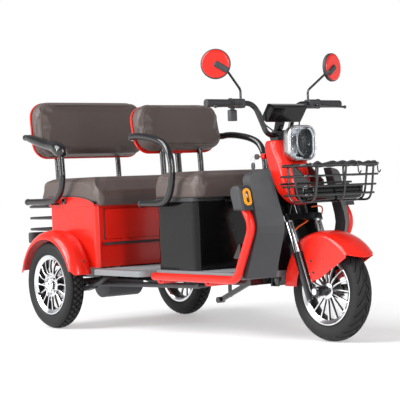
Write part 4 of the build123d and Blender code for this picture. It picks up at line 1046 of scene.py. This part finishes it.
# Backrest posts rise behind each cushion into the lower edge of its backrest
POST_R = 0.013
POST_TOP = 818
for name, x, y, foot in (("front", 530, 106, 560), ("rear", -240, 179, 577)):
    x = min(x, (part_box(name + "_cushion")[0].x - REAR_AXLE["right"].x) * 1000 - 15)
    line = ((x, foot), (x, foot + 90), (x - 4, POST_TOP - 40), (x - 12, POST_TOP))
    posts = wires(name + "_posts", [[at(px, s * y, pz) for px, pz in line] for s in (-1, 1)], POST_R, "chassis",
                  "black_metal")
    posts.data.bevel_resolution = 6
    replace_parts(posts, name + "_back_posts")

# Under the front: a bracket on the frame's nose, the stand post, two orange wires at the fork and the pedal's face
bm = bmesh.new()
for sign in (-1, 1):
    slab(bm, (1186, sign * 52, 214), (1236, sign * 60, 296))
slab(bm, (1186, -60, 214), (1194, 60, 296))
from_bm("nose_bracket", bm, "chassis", "black_metal", edges=0.003)
wires("stand_post", [[at(840, 0, z) for z in (236, 200, 150)], [at(840, y, 240) for y in (-150, 0, 150)]], 0.009,
      "chassis", "black_metal", order=2)
FORK_WIRES = (((1318, 62, 536), (1326, 104, 542), (1332, 114, 528), (1336, 100, 500), (1346, 84, 478)),
              ((1352, -66, 440), (1346, -44, 458), (1342, 6, 474), (1336, 30, 486)))
wires("fork_wires", [[at(*p) for p in run] for run in FORK_WIRES], 0.0030, "steering", "amber", mats["orange_wire"])
turned("pedal_face", [(12, 0), (24, 0), (26, 3), (24, 6), (10, 7.2), (0, 7.5)], at(1192, -190, 366), X + 0.5 * Z, 40,
       "chassis", "chrome", mats["silver"])

# Moulded panels lose their sharp corners
for node, width in (("leg_shields", 0.012), ("dashboard", 0.007), ("lamp_pods", 0.006)):
    flat = nodes[node].modifiers.new("planes", "DECIMATE")
    flat.decimate_type = "DISSOLVE"
    flat.angle_limit = radians(1.5)
    eased(nodes[node], width, 4, 30, "corners")


# Floor, light and camera
def added(name, data):
    obj = bpy.data.objects.new(name, data)
    bpy.context.scene.collection.objects.link(obj)
    return obj


def aimed(obj, way):
    obj.rotation_euler = Vector(way).to_track_quat("-Z", "Y").to_euler()


def area_light(name, place, target, size, power):
    data = bpy.data.lights.new(name, "AREA")
    data.shape = "RECTANGLE"
    data.size, data.size_y = size
    data.energy = power
    obj = added(name, data)
    obj.location = place
    aimed(obj, Vector(target) - Vector(place))


FLOOR_SIZE = 60.0
floor_mesh = grid_mesh("studio_floor", [[Vector((x, y, 0.0)) for y in (-FLOOR_SIZE, FLOOR_SIZE)]
                                        for x in (-FLOOR_SIZE, FLOOR_SIZE)])
floor_paint = surface("studio_floor", (0.64, 0.64, 0.64), 0.6, tone=0.01, grain=20.0, bump=0.01)
floor_mesh.materials.append(glow(floor_paint, 0.36))
added("studio_floor", floor_mesh)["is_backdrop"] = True

# The sky is white at the horizon, to meet the floor, and grey above
world = bpy.data.worlds.new("studio")
bpy.context.scene.world = world
world.use_nodes = True
sky = world.node_tree
sky_place = sky.nodes.new("ShaderNodeTexCoord")
sky_parts = sky.nodes.new("ShaderNodeSeparateXYZ")
sky.links.new(sky_place.outputs["Generated"], sky_parts.inputs["Vector"])
rise = ranged(sky, sky_parts.outputs["Z"], 0.0, 1.0, 0.16, 0.42)
sky.links.new(mixed(sky, rise, (1.0, 1.0, 1.0), (0.30, 0.30, 0.31)), sky.nodes["Background"].inputs["Color"])
sun = bpy.data.lights.new("key", "SUN")
sun.energy = 3.3
sun.angle = radians(48)
aimed(added("key", sun), (1.5, 4.5, -4.2))
area_light("front", (4.8, -0.6, 2.6), (0.4, 0.0, 0.6), (2.0, 2.0), 30.0)
area_light("strip_left", (-1.8, -4.4, 1.9), (0.0, 0.0, 0.6), (0.45, 2.6), 95.0)
area_light("strip_right", (4.9, -1.2, 1.7), (0.3, 0.0, 0.6), (0.40, 2.4), 80.0)
bpy.context.scene.view_settings.view_transform = "Standard"

AZIMUTH = radians(52.58)
ELEVATION = radians(0.63)
ROLL = radians(-2.2)
DISTANCE = 6.14826
TARGET = Vector((0.02458, 0.0, 0.57661))
back = Vector((sin(AZIMUTH) * cos(ELEVATION), -cos(AZIMUTH) * cos(ELEVATION), sin(ELEVATION)))
right = Vector((cos(AZIMUTH), sin(AZIMUTH), 0.0))
up = back.cross(right)
right_rolled = cos(ROLL) * right + sin(ROLL) * up
up_rolled = cos(ROLL) * up - sin(ROLL) * right
camera_data = bpy.data.cameras.new("camera")
camera_data.lens = 123.77
camera_data.sensor_width = 36.0
camera = added("camera", camera_data)
camera.matrix_world = Matrix.Translation(TARGET + DISTANCE * back) @ Matrix(
    (right_rolled, up_rolled, back)).transposed().to_4x4()
bpy.context.scene.camera = camera

low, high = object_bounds()
